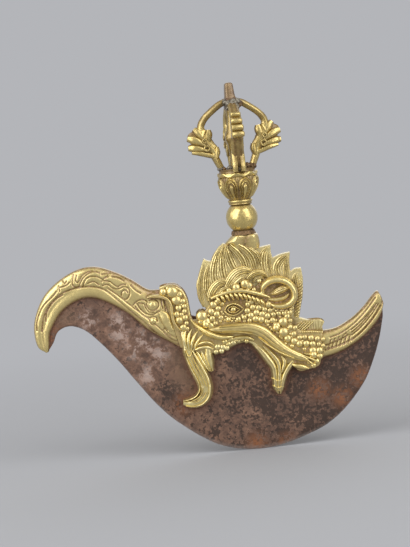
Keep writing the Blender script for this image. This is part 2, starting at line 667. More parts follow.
# %% Chisel strokes on the hook's sleeve, in photo pixels
EDGE_GROOVE = [[[37, 330], [37, 322], [40, 312], [44, 305], [49, 300], [54, 295], [57, 291]]]
STEP_GROOVE = [[
    [42, 331], [43, 322], [45, 314], [49, 306], [54, 300], [60, 294.5], [66, 291], [73, 288.5], [80, 287],
    [88, 286], [96, 286.5], [104, 289], [110, 293], [116, 298], [122, 303], [128, 308], [134, 313],
    [140, 318], [146, 323], [152, 329], [158, 335], [164, 339.5], [170, 343], [176, 345], [181, 342]]]
HOOK_SCROLLS = [
    [[59, 285], [60, 291]], [[60, 287], [64, 286], [68, 284], [70, 282]],
    [[63, 280], [65, 283], [67, 281]],
    [[74, 274], [73, 279], [73, 284], [75, 286.5], [79, 286], [81, 282], [84, 277], [89, 273],
     [95, 271], [100, 272.5]],
    [[77, 275], [76, 280], [78, 282], [80, 280], [82, 276], [87, 272], [93, 270.5]],
    [[83, 286], [85, 281], [87, 278], [91, 276], [97, 276], [103, 279]],
    [[102, 281], [104, 278], [108, 275]], [[102, 274], [110, 272]], [[104, 278], [109, 276]],
    [[104, 280], [110, 281], [114, 284], [118, 286], [122, 284], [126, 284]],
    [[103, 285], [108, 284], [112, 287], [116, 288.5], [120, 288], [124, 286], [127, 287]],
    [[128, 287], [130, 291], [129, 296], [126, 299], [122, 297], [122, 292], [125, 289.5], [128, 292]],
    [[133, 305], [137, 301], [142, 299], [147, 301], [147, 305], [149.4, 309], [154, 310],
     [158.4, 306.4], [158, 301.4], [153.6, 298.8], [149, 300]],
    [[137, 303], [140, 308], [144, 312], [149, 314.4], [154, 313.8], [159, 310.6]],
    [[139, 302.6], [144, 303.4], [146, 308], [149, 311.4], [154, 312]],
    [[135, 306], [139, 311], [144, 315.4], [149, 317.2], [152, 316.6]],
    [[157.6, 321], [156, 317], [152, 316.4], [149.6, 320], [151.6, 324], [156, 324.4]],
    [[163, 330], [165, 327.4], [168, 328], [167, 330.4]],
    [[108, 288], [116, 293.4], [124, 299.6], [132, 306], [140, 312], [148, 318], [156, 324.6],
     [164, 331.4], [171, 336.4]],
    [[163, 331], [168, 336], [174, 340], [181, 341]], [[165, 329], [170, 334], [176, 337], [181, 338]],
    [[46, 321], [47, 313], [51, 305], [57, 298.5], [63, 294.5]], [[161.6, 300], [161.8, 304], [163, 308]],
    [[164.4, 300], [165, 305], [166, 310]], [[167.6, 302], [168.4, 307], [169, 312]],
    [[112, 276], [118, 277], [124, 280]], [[131, 285], [136, 290], [141, 293]],
    [[88, 283], [94, 281], [99, 284]]]
print("strokes on the hook:", len(HOOK_SCROLLS))

# %% A sleeve from its outline, its section and its strokes
# A sleeve narrower than this gets thinner too, down to a least half depth
FULL_WIDTH_MM, LEAST_HALF_MM = 9.0, 0.35
# Stations round the section, from the back to the lip
FACE_COLUMNS = 58
# Half width and depth of a stroke, and of the groove along the step, in millimetres
STROKE_MM, STROKE_CUT_MM = 0.4, 0.48
STEP_MM, STEP_CUT_MM = 0.5, 0.45


def cut_depth(places, strokes, width, cut):
    """How deep the chisel went at each place, in millimetres."""
    return cut * np.exp(-(near(places, [seen(s) for s in strokes]) / width)**2)


def sleeve(name, outline, node, rows, strokes, steps, film_from):
    """One channel between a back and a lip; its back is browned from a share of its length on."""
    stations = evenly(smooth(outline, 16), rows + 1, columns=4)
    width = np.linalg.norm(stations[:, :2] - stations[:, 2:], axis=1)
    scaled = SLEEVE_SECTION * [width.max(), 1.0]
    face = evenly(smooth(scaled, 12), FACE_COLUMNS) / [width.max(), 1.0]
    slot = np.array([[1.0, SLOT_HALF_MM + SLOT_EASE_MM], [1.0, SLOT_HALF_MM],
                     [SLOT_SHARE, SLOT_HALF_MM], [SLOT_SHARE, 0.0]])
    section = np.vstack([face, slot])
    bm = new_bmesh()
    verts, column, row = grid_of(bm, len(section) - 1, rows)
    share, half = section[column].T
    here = stations[row]
    place = here[:, :2] + (here[:, 2:] - here[:, :2]) * share[:, None]
    taper = np.clip(width[row] / FULL_WIDTH_MM, 0.12, 1.0)**0.6
    outside = column < len(face) - 1
    depth = np.where(outside, LEAST_HALF_MM + (half - LEAST_HALF_MM) * taper, half)
    depth = np.where(column == 0, 0.0, depth)
    cut = cut_depth(place, strokes, STROKE_MM, STROKE_CUT_MM)
    cut += cut_depth(place, steps, STEP_MM, STEP_CUT_MM)
    cut *= outside & (share > 0.03) & (share < 0.97)
    lip = 1.4 * soft_step(0.86, 1.0, share) + soft_step(0.06, 0.0, share)
    browned = 0.8 * soft_step(0.22, 0.07, share) * soft_step(film_from, film_from + 0.3, row / rows)
    hollow = np.clip(cut / STROKE_CUT_MM + 0.5 * lip * outside + browned, 0, 1)
    move_to(bm, verts, place[:, 0], place[:, 1], depth - cut, hollow)
    close_with_mirror(bm, name, SEAM_MM)
    make_piece(bm, name, chased_brass, (node,))


sleeve("hook_channel", HOOK, "hook_sleeve", 400, HOOK_SCROLLS + EDGE_GROOVE, STEP_GROOVE, film_from=0.4)

# %% The tail's sleeve, with long grooves and a short hatch near the head
TAIL_GROOVES = [
    [[326, 345], [336, 341], [346, 336], [355, 329], [364, 320], [371, 311], [376, 303]],
    [[330, 337], [340, 333], [349, 327], [357, 320], [365, 311], [371, 303], [375, 297]],
    [[344, 334], [352, 328.4], [360, 321.6], [368, 313], [374, 305]],
    [[352, 334.6], [359, 328.6], [366, 321], [373, 311.6], [378, 303]],
    [[352, 340], [360, 333], [368, 324], [375, 314], [380, 305]]]
TAIL_STEP = [[
    [325, 350], [337, 346], [348, 341], [358, 334], [367, 325], [374, 316], [380, 307], [382, 302]]]
TAIL_HATCH = [[[x, 349 - 0.25 * (x - 326)], [x + 3, 340 - 0.35 * (x - 326)]] for x in range(328, 352, 4)]
sleeve("tail_channel", TAIL, "tail_sleeve", 190, TAIL_GROOVES + TAIL_HATCH, TAIL_STEP, film_from=-0.3)

# %% [markdown]
# ## The blade
#
# The crescent was forged, so its faces are nearly flat, a little uneven, and they thin into a
# ground bevel. The grid runs from the back, hidden in the brass, to the cutting edge. Slow noise
# makes the hammered unevenness, fast noise the pits that rust has eaten.

# %% The blade as drawn, back and cutting edge
HOOK_EDGE = [
    [-97.2, -66.4], [-95.2, -63], [-93.8, -59], [-91.8, -56.6], [-88, -55], [-83.8, -55.2],
    [-78.4, -57.6], [-73, -62], [-67, -67.8], [-61.2, -74], [-54, -82.5], [-44.5, -93.3]]
BELLY_EDGE = [
    [-36.5, -100.7], [-29, -106], [-21.5, -110.5], [-13.5, -114.4], [-4.5, -116.7], [4.5, -117.2],
    [14, -116.2], [24, -113.4], [33, -109.5]]
TAIL_EDGE = [[41.5, -105], [49.5, -98.3], [56.3, -90], [61.8, -81], [65.8, -70], [68.3, -60], [69.8, -50]]
HEAD_BACK = [
    [-29, -49], [-22, -50.2], [-15, -50.5], [-7, -50.5], [1, -50.5], [9, -50.7], [17, -52.3], [25, -55],
    [33, -58.8]]
# Share of the way from back to edge, half thickness in millimetres
BLADE_LEVELS = np.array([[0.0, 1.2], [0.72, 1.2], [0.93, 0.84], [0.99, 0.4], [1.0, 0.25]])

# %% The forging, with hammered faces, pits and nicks
# Stations along the crescent and from back to edge
BLADE_ROWS, BLADE_COLUMNS = 381, 100
# Hammered unevenness, pits of rust and nicks in the edge, in millimetres
HAMMERED_MM, PIT_MM, NICK_MM = 0.06, 0.10, 0.22


def noise_over(u, v, per_mm, layer):
    """Smooth noise over the drawing; the layer picks one sheet of it."""
    return np.array([noise.noise(Vector((a * per_mm, b * per_mm, layer))) for a, b in zip(u, v)])


def forged_blade():
    back = np.vstack([(HOOK[:, :2] + HOOK[:, 2:]) / 2, HEAD_BACK, (TAIL[:, :2] + TAIL[:, 2:]) / 2])
    edge = np.array(HOOK_EDGE + BELLY_EDGE + TAIL_EDGE)
    stations = evenly(smooth(np.hstack([back, edge]), 12), BLADE_ROWS, columns=4)
    shares = np.concatenate([[0.0], np.linspace(0.0, 1.0, BLADE_COLUMNS)**0.85, [1.0]])
    bm = new_bmesh()
    cutting = bm.verts.layers.float.new(CUTTING)
    verts, column, row = grid_of(bm, len(shares) - 1, len(stations) - 1)
    share = shares[column]
    place = stations[row][:, :2] + (stations[row][:, 2:] - stations[row][:, :2]) * share[:, None]
    half = np.interp(share, *BLADE_LEVELS.T)
    wear = np.array([noise.fractal(Vector((u * 0.35, v * 0.35, 3.0)), 1.0, 2.1, 3) for u, v in place])
    pits = noise_over(*place.T, 1.3, 8.0)
    nick = noise_over(*place.T, 0.8, 21.0)
    place[:, 1] += np.where(share > 0.999, NICK_MM * np.clip(nick - 0.1, 0, 1), 0)
    dip = HAMMERED_MM * wear - PIT_MM * np.clip(pits - 0.25, 0, 1)
    closing = (column == 0) | (column == len(shares) - 1)
    half = np.where(closing, 0.0, half + dip * soft_step(1.0, 0.9, share))
    move_to(bm, verts, place[:, 0], place[:, 1], half, np.clip(pits, 0, 1))
    for vert, near_edge in zip(verts, soft_step(0.965, 1.0, share)):
        vert[cutting] = near_edge
    close_with_mirror(bm, "forged_blade", FINE_SEAM_MM)
    make_piece(bm, "forged_blade", iron_finish, ("blade",))


forged_blade()

# %% [markdown]
# ## A tool for raised strips
#
# Hair locks, lips, horn and tusk were all modelled in wax as rolled strips laid on a plate and
# then chased with a blunt chisel. The tool does the same: a grid follows the curve, rises to a
# dome, and grooves run along it or ribs across it. Its rim is drawn down into the plate and
# closed underneath, so each strip is a solid piece of metal.

# %% Strips
# A strip is drawn by the width that is seen; its foot in the shade is a little wider
FOOT_SPREAD = 1.12
# Steps of a strip along and across, and how far its foot goes into the plate, in millimetres
ALONG_MM, ACROSS_MM, SUNK_MM = 0.34, 0.26, 0.35
# No strip is laid quite even
SWAY_MM = 0.12


def strip(bm, path, base, grooves=0, ribs=None, cut=0.26, fall=0.62):
    """Add one strip. Path rows are photo x, photo y, half width in pixels and rise in millimetres.

    Ribs are their pitch in millimetres and how far they lean; a smaller fall squares the section.
    """
    line = smooth(seen(path), 10)
    length = np.linalg.norm(np.diff(line[:, :2], axis=0), axis=1).sum()
    rows = max(6, int(length / ALONG_MM))
    line = evenly(line, rows + 1)
    wide = line[:, 2].max() * PIXEL_MM
    columns = int(max(8, 2 * wide / ACROSS_MM, 5 * (grooves + 1)))
    heading = np.gradient(line[:, :2], axis=0)
    heading /= np.linalg.norm(heading, axis=1)[:, None]
    verts, column, row = grid_of(bm, columns, rows)
    c = 2 * column / columns - 1
    here, ahead = line[row], heading[row]
    half = np.maximum(here[:, 2], 0.15) * PIXEL_MM * FOOT_SPREAD
    u = here[:, 0] - ahead[:, 1] * half * c
    v = here[:, 1] + ahead[:, 0] * half * c
    dome = np.clip(1 - np.abs(c)**2.4, 0, 1)**fall
    gone = np.zeros(len(c))
    for k in range(grooves):
        at = (k + 1) * 2 / (grooves + 1) - 1
        gone += np.exp(-((c - at) * (grooves + 1) / 0.5)**2)
    if ribs:
        pitch, lean = ribs
        turn = 2 * np.pi * (row * length / rows / pitch + lean * c)
        gone += (0.5 - 0.5 * np.cos(turn)) * np.clip(1.15 - np.abs(c)**3, 0, 1)
    rise = here[:, 3]
    sway = noise_over(u, v, 0.55, 1.7)
    depth = base + rise * dome - cut * gone * np.clip(rise, 0, 1) * dome + SWAY_MM * sway * dome
    foot = soft_step(0.7, 1.0, np.abs(c))
    move_to(bm, verts, u, v, depth, np.clip(gone**2 + 0.7 * foot, 0, 1))
    close_under(bm, verts, base - SUNK_MM)


def strips(bm, paths, base, **shape):
    for path in paths:
        strip(bm, path, base, **shape)


def close_under(bm, verts, floor_mm):
    """Draw the open rim of the last shell down to a flat floor and close it."""
    faces = {f for v in verts for f in v.link_faces}
    rim = [e for f in faces for e in f.edges if e.is_boundary]
    made = bmesh.ops.extrude_edge_only(bm, edges=list(set(rim)))["geom"]
    fresh = [g for g in made if isinstance(g, bmesh.types.BMVert)]
    for vert in fresh:
        vert.co.y = -floor_mm * MM
    edges = [e for v in fresh for e in v.link_edges if e.is_boundary]
    bmesh.ops.holes_fill(bm, edges=list(set(edges)), sides=0)

# %% Beads
# A bead is drawn by its bright middle and is wider at its foot
BEAD_SPREAD = 1.36
# Hand-rolled beads differ in size and are pressed a little flat
BEAD_UNEVEN, BEAD_PRESSED = 0.24, 0.78


def beads(bm, places, base, fine=2, sunk=0.0):
    """Round drops of wax: rows are photo x, photo y and radius in pixels."""
    layer = bm.verts.layers.float[HOLLOW]
    for x, y, r in places:
        u, v = seen([[x, y]])[0]
        radius = r * PIXEL_MM * BEAD_SPREAD * (1 + BEAD_UNEVEN * noise.noise(Vector((x, y, 0.5))))
        made = bmesh.ops.create_icosphere(bm, subdivisions=fine, radius=radius * MM)["verts"]
        centre = Vector(placed(u, v, base - sunk * radius))
        for vert in made:
            vert[layer] = float(soft_step(0.75, 0.1, -vert.co.y / (radius * MM)))
            swell = 1 + BEAD_UNEVEN * noise.noise(vert.co * 900 + Vector((x, y, 0)))
            vert.co = Vector((vert.co.x * swell, vert.co.y * BEAD_PRESSED, vert.co.z * swell))
        bmesh.ops.translate(bm, verts=made, vec=centre)

# %% The same relief on both faces
def far_face(bm):
    """The mirror image of a relief."""
    twin = bm.copy()
    bmesh.ops.scale(twin, verts=twin.verts, vec=(1, -1, 1))
    bmesh.ops.reverse_faces(twin, faces=twin.faces)
    return twin


def both_faces(bm, name, finish, front=(), back=()):
    """Keep a relief as the front piece and its mirror image as the back piece."""
    twin = far_face(bm)
    make_piece(bm, name + "_front", finish, front)
    make_piece(twin, name + "_back", finish, back)

# %% [markdown]
# ## Flame crest
#
# The crest is one plate behind the head, cut to flame tips at its rim. Its outline is drawn as
# short smooth runs that meet in points. The plate carries long flames with fine grooves that fan
# out from the head to the tips, a twisted border, a hatched fin and the locks of hair over the
# brow, the same on both faces.

# %% Plates from an outline
def plate(bm, runs, low_mm, high_mm, bevel_mm, hollow):
    """A flat plate between two depths, cut to an outline of smooth runs, with its rim eased."""
    rim = np.vstack([smooth(run, 6)[:-1] for run in runs])
    layer = bm.verts.layers.float[HOLLOW]
    corners = [bm.verts.new(p) for p in placed(rim[:, 0], rim[:, 1], low_mm)]
    face = bm.faces.new(corners)
    top = bmesh.ops.extrude_face_region(bm, geom=[face])["geom"]
    raised = [g for g in top if isinstance(g, bmesh.types.BMVert)]
    bmesh.ops.translate(bm, verts=raised, vec=(0, -(high_mm - low_mm) * MM, 0))
    edges = {e for v in raised for e in v.link_edges if all(w in set(raised) for w in e.verts)}
    bmesh.ops.bevel(bm, geom=list(edges), offset=bevel_mm * MM, segments=3, profile=0.5, affect="EDGES",
                    material=-1)
    for vert in bm.verts:
        vert[layer] = hollow

# %% The crest's plate
CREST_RUNS = [
    [[-19, -52], [-18.5, -46.5], [-21.2, -42.5], [-23, -37.5], [-23.6, -33.5], [-22.3, -28.5],
     [-20.9, -23.5], [-20, -20.7]],
    [[-20, -20.7], [-18.2, -21.7], [-16.4, -22]],
    [[-16.4, -22], [-14.6, -18], [-12.6, -15], [-10.5, -13.1]], [[-10.5, -13.1], [8, -15]],
    [[8, -15], [10.2, -14.4], [13.3, -13.7]], [[13.3, -13.7], [13.5, -17], [14.4, -20.2]],
    [[14.4, -20.2], [18.4, -18.4], [23, -17.3]], [[23, -17.3], [22.8, -22], [23.3, -27]],
    [[23.3, -27], [25.6, -25.6], [28.6, -25.2]],
    [[28.6, -25.2], [29.6, -31.5], [28.9, -41], [27.8, -50.2]],
    [[27.8, -50.2], [33, -51.4], [38.8, -51.2]], [[38.8, -51.2], [39.9, -57.5]],
    [[39.9, -57.5], [33, -59], [25, -55.5], [17, -52.6], [0, -50.7], [-19, -52]]]
CREST_HALF_MM = 3.0
crest_bm = new_bmesh()
plate(crest_bm, CREST_RUNS, 0.0, CREST_HALF_MM, 0.35, 0.3)
add_mirror(crest_bm, SEAM_MM)
# The two halves met in a face on the middle plane, which comes out
inner = [f for f in crest_bm.faces if all(abs(v.co.y) < SEAM_MM * MM for v in f.verts)]
bmesh.ops.delete(crest_bm, geom=inner, context="FACES_ONLY")
make_piece(crest_bm, "crest_plate", pale_brass, ("flame_crest",))

# %% Flames: root to tip, as photo x, photo y, half width in pixels, rise in millimetres
FLAMES = [
    [[205, 306, 2.2, 0.6], [201, 296, 2.9, 1], [200.2, 284, 3, 1.1], [202, 273, 2.6, 1],
     [203.8, 265, 1.9, 0.8], [204.2, 260, 0.6, 0.3]],
    [[211, 301, 3, 0.8], [207, 290, 3.6, 1.3], [206.8, 278, 3.8, 1.4], [208.4, 268, 2.8, 1],
     [207.8, 262, 0.6, 0.3]],
    [[217, 288, 4, 0.9], [214, 276, 4.8, 1.3], [214.6, 264, 4, 1.4], [217.4, 254, 3, 1.1],
     [221, 246, 0.8, 0.5]],
    [[226, 284, 4, 0.9], [222.4, 270, 4.8, 1.3], [221.8, 257, 3.8, 1.5], [224, 246, 1.6, 0.8]],
    [[236, 272, 4.2, 1], [230.8, 262, 4.6, 1.4], [227.4, 252, 3.8, 2.2], [226, 244, 1.8, 1.6]],
    [[247, 270, 3.4, 1], [243, 259, 4.4, 1.8], [237, 250.5, 4.4, 3], [229.6, 244, 3, 3.1]],
    [[256, 270, 3.4, 0.9], [252.5, 257.6, 4.6, 2], [246, 249, 4.6, 3.4], [236.5, 243, 3, 3.5]],
    [[260, 264, 2.6, 1.2], [256.6, 255, 3, 2.8], [251.4, 249.4, 2.8, 3.5], [245, 246, 1.6, 3.3]],
    [[265, 274, 4, 0.9], [262.6, 262, 4.6, 1.3], [263.6, 253, 4, 1.3], [267, 247.4, 1.8, 0.7],
     [269.2, 245.2, 0.4, 0.3]],
    [[272, 277, 3.4, 0.8], [268.8, 265, 2.6, 1.1], [268.6, 256, 1.7, 1], [269.6, 248, 0.5, 0.4]],
    [[279, 278, 4, 0.8], [276.8, 267.6, 4.2, 1.2], [279.8, 260.6, 4, 1.3], [284.8, 256, 2.4, 1],
     [288.6, 252.8, 0.4, 0.3]],
    [[287.4, 279, 3.4, 0.8], [285.6, 268, 3.4, 1.2], [286.4, 260, 2, 1], [288.6, 254, 0.4, 0.3]],
    [[297, 294, 2.8, 0.8], [294.6, 284, 3.6, 1.2], [295.2, 276, 3, 1.1], [299.2, 269.2, 0.5, 0.3]]]
ROPE_BORDER = [
    [300.4, 275, 1.2, 0.8], [299.8, 286, 2.7, 1.2], [298.8, 296, 3.2, 1.4], [297.2, 306, 3.2, 1.4],
    [296, 317, 2.8, 1.2]]
FIN = [[297, 326.6, 5.6, 0.7], [310, 325.8, 5.8, 0.8], [318.6, 325.2, 5.9, 0.8], [322, 326.4, 5.2, 0.6]]
FIN_HATCH = [[[291 + k, 331, 0.5, 1.1], [296 + k, 326.6, 0.8, 1.5], [302 + k, 321, 0.5, 1.1]]
             for k in (0, 2.8, 5.6, 8.4, 11.2)]

# The strips stand on the plate with their feet sunk into it
CREST_BASE_MM = CREST_HALF_MM - 0.5
flame_bm = new_bmesh()
strips(flame_bm, FLAMES, CREST_BASE_MM, grooves=3, cut=0.7)
strip(flame_bm, ROPE_BORDER, CREST_BASE_MM, ribs=(1.6, 0.9), cut=0.8)
strip(flame_bm, FIN, CREST_BASE_MM, ribs=(1.25, 0.12), cut=0.12, fall=0.25)
strips(flame_bm, FIN_HATCH, CREST_BASE_MM)
both_faces(flame_bm, "crest_flames", pale_brass)

# %% Three locks of hair that roll over the brow, each with an inner curl
LOCKS = [
    [[209.5, 301, 3, 1.6], [212, 291.5, 4.4, 2.4], [217.5, 284, 4.4, 2.6], [225, 281, 3.2, 2.2],
     [230, 283, 1, 1.2]],
    [[215, 298, 2.2, 2.4], [219.5, 291.5, 3, 2.9], [226, 287.4, 2.6, 2.7], [233, 285, 1, 1.8]],
    [[225, 289, 2.6, 2], [230, 280, 4.8, 2.9], [236, 272.8, 5, 3.2], [243.5, 269.6, 4.4, 3],
     [250.5, 270.6, 2.4, 2.2], [254.5, 273, 0.8, 1.2]],
    [[231, 287, 2.4, 2.6], [236, 281, 3.6, 3.2], [241.5, 276.6, 3.4, 3.2], [248, 274.4, 1.6, 2.4]],
    [[246, 282, 2, 2.2], [250, 275.6, 3.4, 2.9], [256, 272.4, 3.4, 3.1], [262, 272.8, 3, 2.9],
     [266.6, 276.6, 1.2, 2]],
    [[253, 282, 1.8, 2.2], [256, 278, 2.4, 2.8], [261, 276.4, 2, 2.8], [264, 279.4, 1, 2]]]
LOCK_EYE = [[259, 280, 1.8]]
lock_bm = new_bmesh()
for index, lock in enumerate(LOCKS):
    strip(lock_bm, lock, CREST_BASE_MM, grooves=2 if index % 2 else 4, cut=0.55)
beads(lock_bm, LOCK_EYE, CREST_HALF_MM + 1.6)
both_faces(lock_bm, "hair_locks", pale_brass)

# %% [markdown]
# ## Makara head
#
# Two cheeks clasp the crest and the blade. Each is a plate with a sunk, dusty ground, and on it
# stand the snout that curls back over the hook, the fringed brow, the almond eye, the ring of
# the horn, the long lips, rows of beads, the tusk, the fang and the short leg. The far cheek is
# not seen in the photograph and is taken as the mirror image.

# %% Cheek plates
CHEEK_RUNS = [
    [[-41.3, -36.1], [-39, -33.8], [-34.3, -33.4], [-30.8, -36], [-28.7, -41.5], [-27.4, -47],
     [-25.2, -51]],
    [[-25.2, -51], [-22.5, -50.5], [-19.5, -47], [-14.3, -40.5], [-7.3, -35.2], [0.8, -33], [6.2, -34]],
    [[6.2, -34], [10.3, -30.6], [18, -28.8], [24.2, -31.8], [26.6, -38.5], [23.8, -44.6], [21.2, -47.5]],
    [[21.2, -47.5], [23.6, -52.6], [29, -56.3], [39.5, -56.9]], [[39.5, -56.9], [38.9, -70.6]],
    [[38.9, -70.6], [37.8, -74], [34, -75.6]], [[34, -75.6], [28, -76.8], [24, -72.5]],
    [[24, -72.5], [18.5, -74], [14.2, -73.5]],
    [[14.2, -73.5], [10, -67.5], [5.3, -62.6], [1.2, -61.5], [-6.7, -63.8], [-13.6, -67.4]],
    [[-13.6, -67.4], [-18, -68.5], [-23, -67.5], [-31.6, -65]], [[-31.6, -65], [-41.3, -36.1]]]
CHEEK_FACE_MM = 4.6
cheek_bm = new_bmesh()
plate(cheek_bm, CHEEK_RUNS, 1.25, CHEEK_FACE_MM, 0.5, 0.55)
both_faces(cheek_bm, "cheek_plate", chased_brass, ("makara_front",), ("makara_back",))

# %% [markdown]
# ### Snout
#
# The snout turns back over the end of the hook's sleeve, as a rib between bunches of beads. The
# beads differ in size, so each is placed by hand, and the tool makes them a little uneven.

# %% Snout: a rib and bunched beads that curl back over the hook's sleeve
RELIEF_BASE_MM = 3.95
SNOUT_EDGE = [
    [159.6, 287.6, 1.1, 0.8], [166, 285.8, 1.4, 1.1], [173, 286, 1.4, 1.1], [181, 289.8, 1.4, 1.1],
    [186, 298.4, 1.3, 1], [188, 307, 1.2, 0.9], [189.6, 315, 1.1, 0.8], [191.4, 320, 0.8, 0.6]]
SNOUT_RIB = [
    [147, 296.5, 1, 1], [154, 295.4, 1.7, 1.8], [161, 295.8, 1.9, 2.4], [167, 298, 1.9, 2.7],
    [170.6, 303, 1.9, 2.8], [172.2, 311, 1.9, 2.8], [173.6, 320, 1.8, 2.7], [177.6, 327, 1.6, 2.4],
    [182, 331, 0.9, 1.4]]
SNOUT_LEAF = [[160, 311, 2.2, 0.7], [164.6, 316, 4.6, 1.4], [168, 323, 4.4, 1.4], [172, 330, 2.6, 0.9]]
SNOUT_BEADS = [
    [163.4, 291, 3.4], [172.4, 290.8, 4.4], [168, 287.8, 2], [179.4, 293.6, 2.6], [176.4, 299.4, 3.8],
    [182.6, 300.4, 2.6], [184.6, 305.4, 2.2], [178.6, 307.4, 2.9], [184.4, 310.6, 2.4],
    [176.6, 313.6, 2.7], [181.6, 313.8, 2.2], [185.4, 317, 2.7], [179.4, 319.4, 3.3], [186.6, 322.4, 2.1],
    [183.4, 326.6, 2.8], [187.4, 328, 2], [173.6, 295.6, 1.8], [180.6, 303.8, 1.6]]
snout_bm = new_bmesh()
strip(snout_bm, SNOUT_EDGE, RELIEF_BASE_MM)
strip(snout_bm, SNOUT_RIB, RELIEF_BASE_MM, grooves=1, cut=0.2)
strip(snout_bm, SNOUT_LEAF, RELIEF_BASE_MM - 0.4, cut=0.1)
beads(snout_bm, SNOUT_BEADS, RELIEF_BASE_MM + 0.7)
both_faces(snout_bm, "snout", chased_brass)

# %% [markdown]
# ### Brow, eye and cheek
#
# One thick strip is the brow, a row of slanted ribs its fringe, and four thin strips are the lids
# round a small ball. Beads cover the cheek. A rule could scatter them, but in the photograph they
# follow rows, so the large ones are placed and only the grains between them spread along lines.

# %% Brow, fringe and eye
BROW = [
    [211, 297.6, 1.6, 2.2], [219, 294, 2, 2.8], [230, 290.6, 2.4, 3.2], [243, 289.6, 2.6, 3.4],
    [254, 291.6, 2.6, 3.2], [262, 293.6, 2.2, 2.8], [270, 296.4, 1.2, 2]]
BROW_BEADS = [
    [229, 289.4, 2.4], [236, 286.6, 3], [244.6, 282.6, 3.4], [249, 284.6, 2.8], [241, 289.2, 2.2],
    [247.4, 289.4, 2.2], [253.6, 288.6, 1.9], [262, 291.8, 1.7], [222.6, 292.4, 2]]
FRINGE_TOP = [
    [218, 297.2], [224, 294.6], [232, 293], [240, 292.8], [248, 294.4], [256, 297], [262, 299.4]]
FRINGE_RIBS = 11
# One rib of the fringe, from its root: photo x, photo y, half width in pixels, rise in millimetres
FRINGE_RIB = np.array([[-1.6, -1.2, 1.6, 2.4], [0.8, 2, 2.1, 3.3], [3, 5.8, 1, 1.8]])
EYE_LIDS = [
    [[224.6, 309.6, 0.9, 2.2], [227, 305, 1.1, 2.9], [232.8, 302.4, 1.2, 3.1], [238.6, 304, 1.1, 2.8],
     [243.4, 307.8, 0.7, 2]],
    [[224.6, 310, 0.9, 2], [228, 313, 1.1, 2.5], [233.2, 314.2, 1.1, 2.6], [238.4, 312.4, 1, 2.3],
     [243.4, 308.4, 0.7, 1.8]],
    [[227.6, 308.4, 0.6, 2.5], [229.8, 305.8, 0.8, 3], [234, 305, 0.8, 3.1], [239.4, 308.2, 0.6, 2.3]],
    [[227.6, 308.8, 0.6, 2.3], [230.2, 311, 0.8, 2.7], [234.8, 311.4, 0.8, 2.7],
     [239.4, 308.6, 0.6, 2.1]]]
EYE_BALL = [[233.2, 308.2, 2.3]]

# %% Beads of the cheek, and grains in the ground between them
CHEEK_BEADS = [
    [213.4, 303.8, 2.9], [217.4, 300.6, 2.3], [222, 302.8, 2.3], [218.2, 307.6, 2.2], [211.4, 310.8, 2.5],
    [216.8, 313.4, 2.9], [221, 317, 2.2], [212.6, 317.8, 2.7], [215.6, 322.6, 2.3], [247.4, 303.6, 2.3],
    [251.4, 300.6, 2.4], [257, 301.2, 2.4], [262.6, 303.4, 2.3], [247.2, 310, 2.4], [252.6, 306.4, 2.6],
    [258.6, 306.8, 2.5], [264.6, 308.6, 2.4], [250.8, 314.6, 2.7], [256.4, 311.8, 2.9], [262, 313.4, 2.7],
    [268.4, 303.8, 2.6], [270, 309.6, 2.4], [255.4, 318, 2.8], [261, 318.8, 2.6], [267.4, 315, 2.7],
    [244.2, 316.6, 2.5], [238.4, 318.4, 2.3], [273.4, 313.6, 2.4], [272.6, 319.4, 2.6], [266.6, 321, 2.4],
    [249.4, 319.6, 2.2], [228.6, 318.6, 2.2], [278.6, 312.6, 2.2], [284, 312.4, 2.4], [289.6, 311.6, 2.3]]
NOSE_BEADS = [[202, 315.6, 4.2], [206.4, 321.4, 3.3], [200.8, 321, 2.4], [210.6, 325, 2.6]]
# Grains fill the ground between the beads: lines across the cheek, as photo x and photo y
GRAIN_ROWS = [
    [[214, 305.4], [221, 311.4], [226, 316.4], [236, 316.6], [246, 313.4]],
    [[209, 314.6], [215, 319.6], [224, 320.2], [234, 320.8], [244, 320]],
    [[246, 299.4], [254, 303.4], [262, 306.6], [270, 306.8], [276, 309.4]],
    [[249, 307.4], [256, 309], [263, 311], [270, 313], [278, 316]],
    [[253, 316], [259, 315.4], [265, 318.4], [271, 322.6], [276, 320]],
    [[268, 299.4], [274, 308], [281, 309.6], [287, 309.4], [293, 307.4]],
    [[286, 324.4], [289, 330.4], [291, 336.4], [297, 340], [302, 340.4]],
    [[268, 324], [272, 328.6], [277, 331.4], [281, 336.4], [286, 342.4]]]
print("beads of the cheek:", len(CHEEK_BEADS))
GRAINS_PER_ROW = 10
# Radius of a grain and how far it may stray, in pixels
GRAIN_PIXELS, STRAY_PIXELS = 1.15, 2.6


def grains():
    """Places of the grains, shaken a little so that no row shows."""
    for row in GRAIN_ROWS:
        for x, y in evenly(smooth(row, 6), GRAINS_PER_ROW):
            right, up, swell = [noise.noise(Vector((x * 1.7, y * 1.7, z))) for z in (1, 5, 9)]
            yield x + STRAY_PIXELS * right, y + STRAY_PIXELS * up, GRAIN_PIXELS * (1 + 0.5 * swell)

# %% Brow, eye and cheek in one casting
eye_bm = new_bmesh()
strip(eye_bm, BROW, RELIEF_BASE_MM)
beads(eye_bm, BROW_BEADS, RELIEF_BASE_MM + 1.6)
fringe = evenly(smooth(FRINGE_TOP, 8), FRINGE_RIBS)
strips(eye_bm, [FRINGE_RIB + [x, y, 0, 0] for x, y in fringe], RELIEF_BASE_MM)
strips(eye_bm, EYE_LIDS, RELIEF_BASE_MM)
beads(eye_bm, EYE_BALL, RELIEF_BASE_MM + 1.4, fine=3)
beads(eye_bm, CHEEK_BEADS, RELIEF_BASE_MM + 0.6)
beads(eye_bm, grains(), RELIEF_BASE_MM + 0.75)
beads(eye_bm, NOSE_BEADS, RELIEF_BASE_MM + 0.4, fine=3)
both_faces(eye_bm, "brow_and_eye", chased_brass)

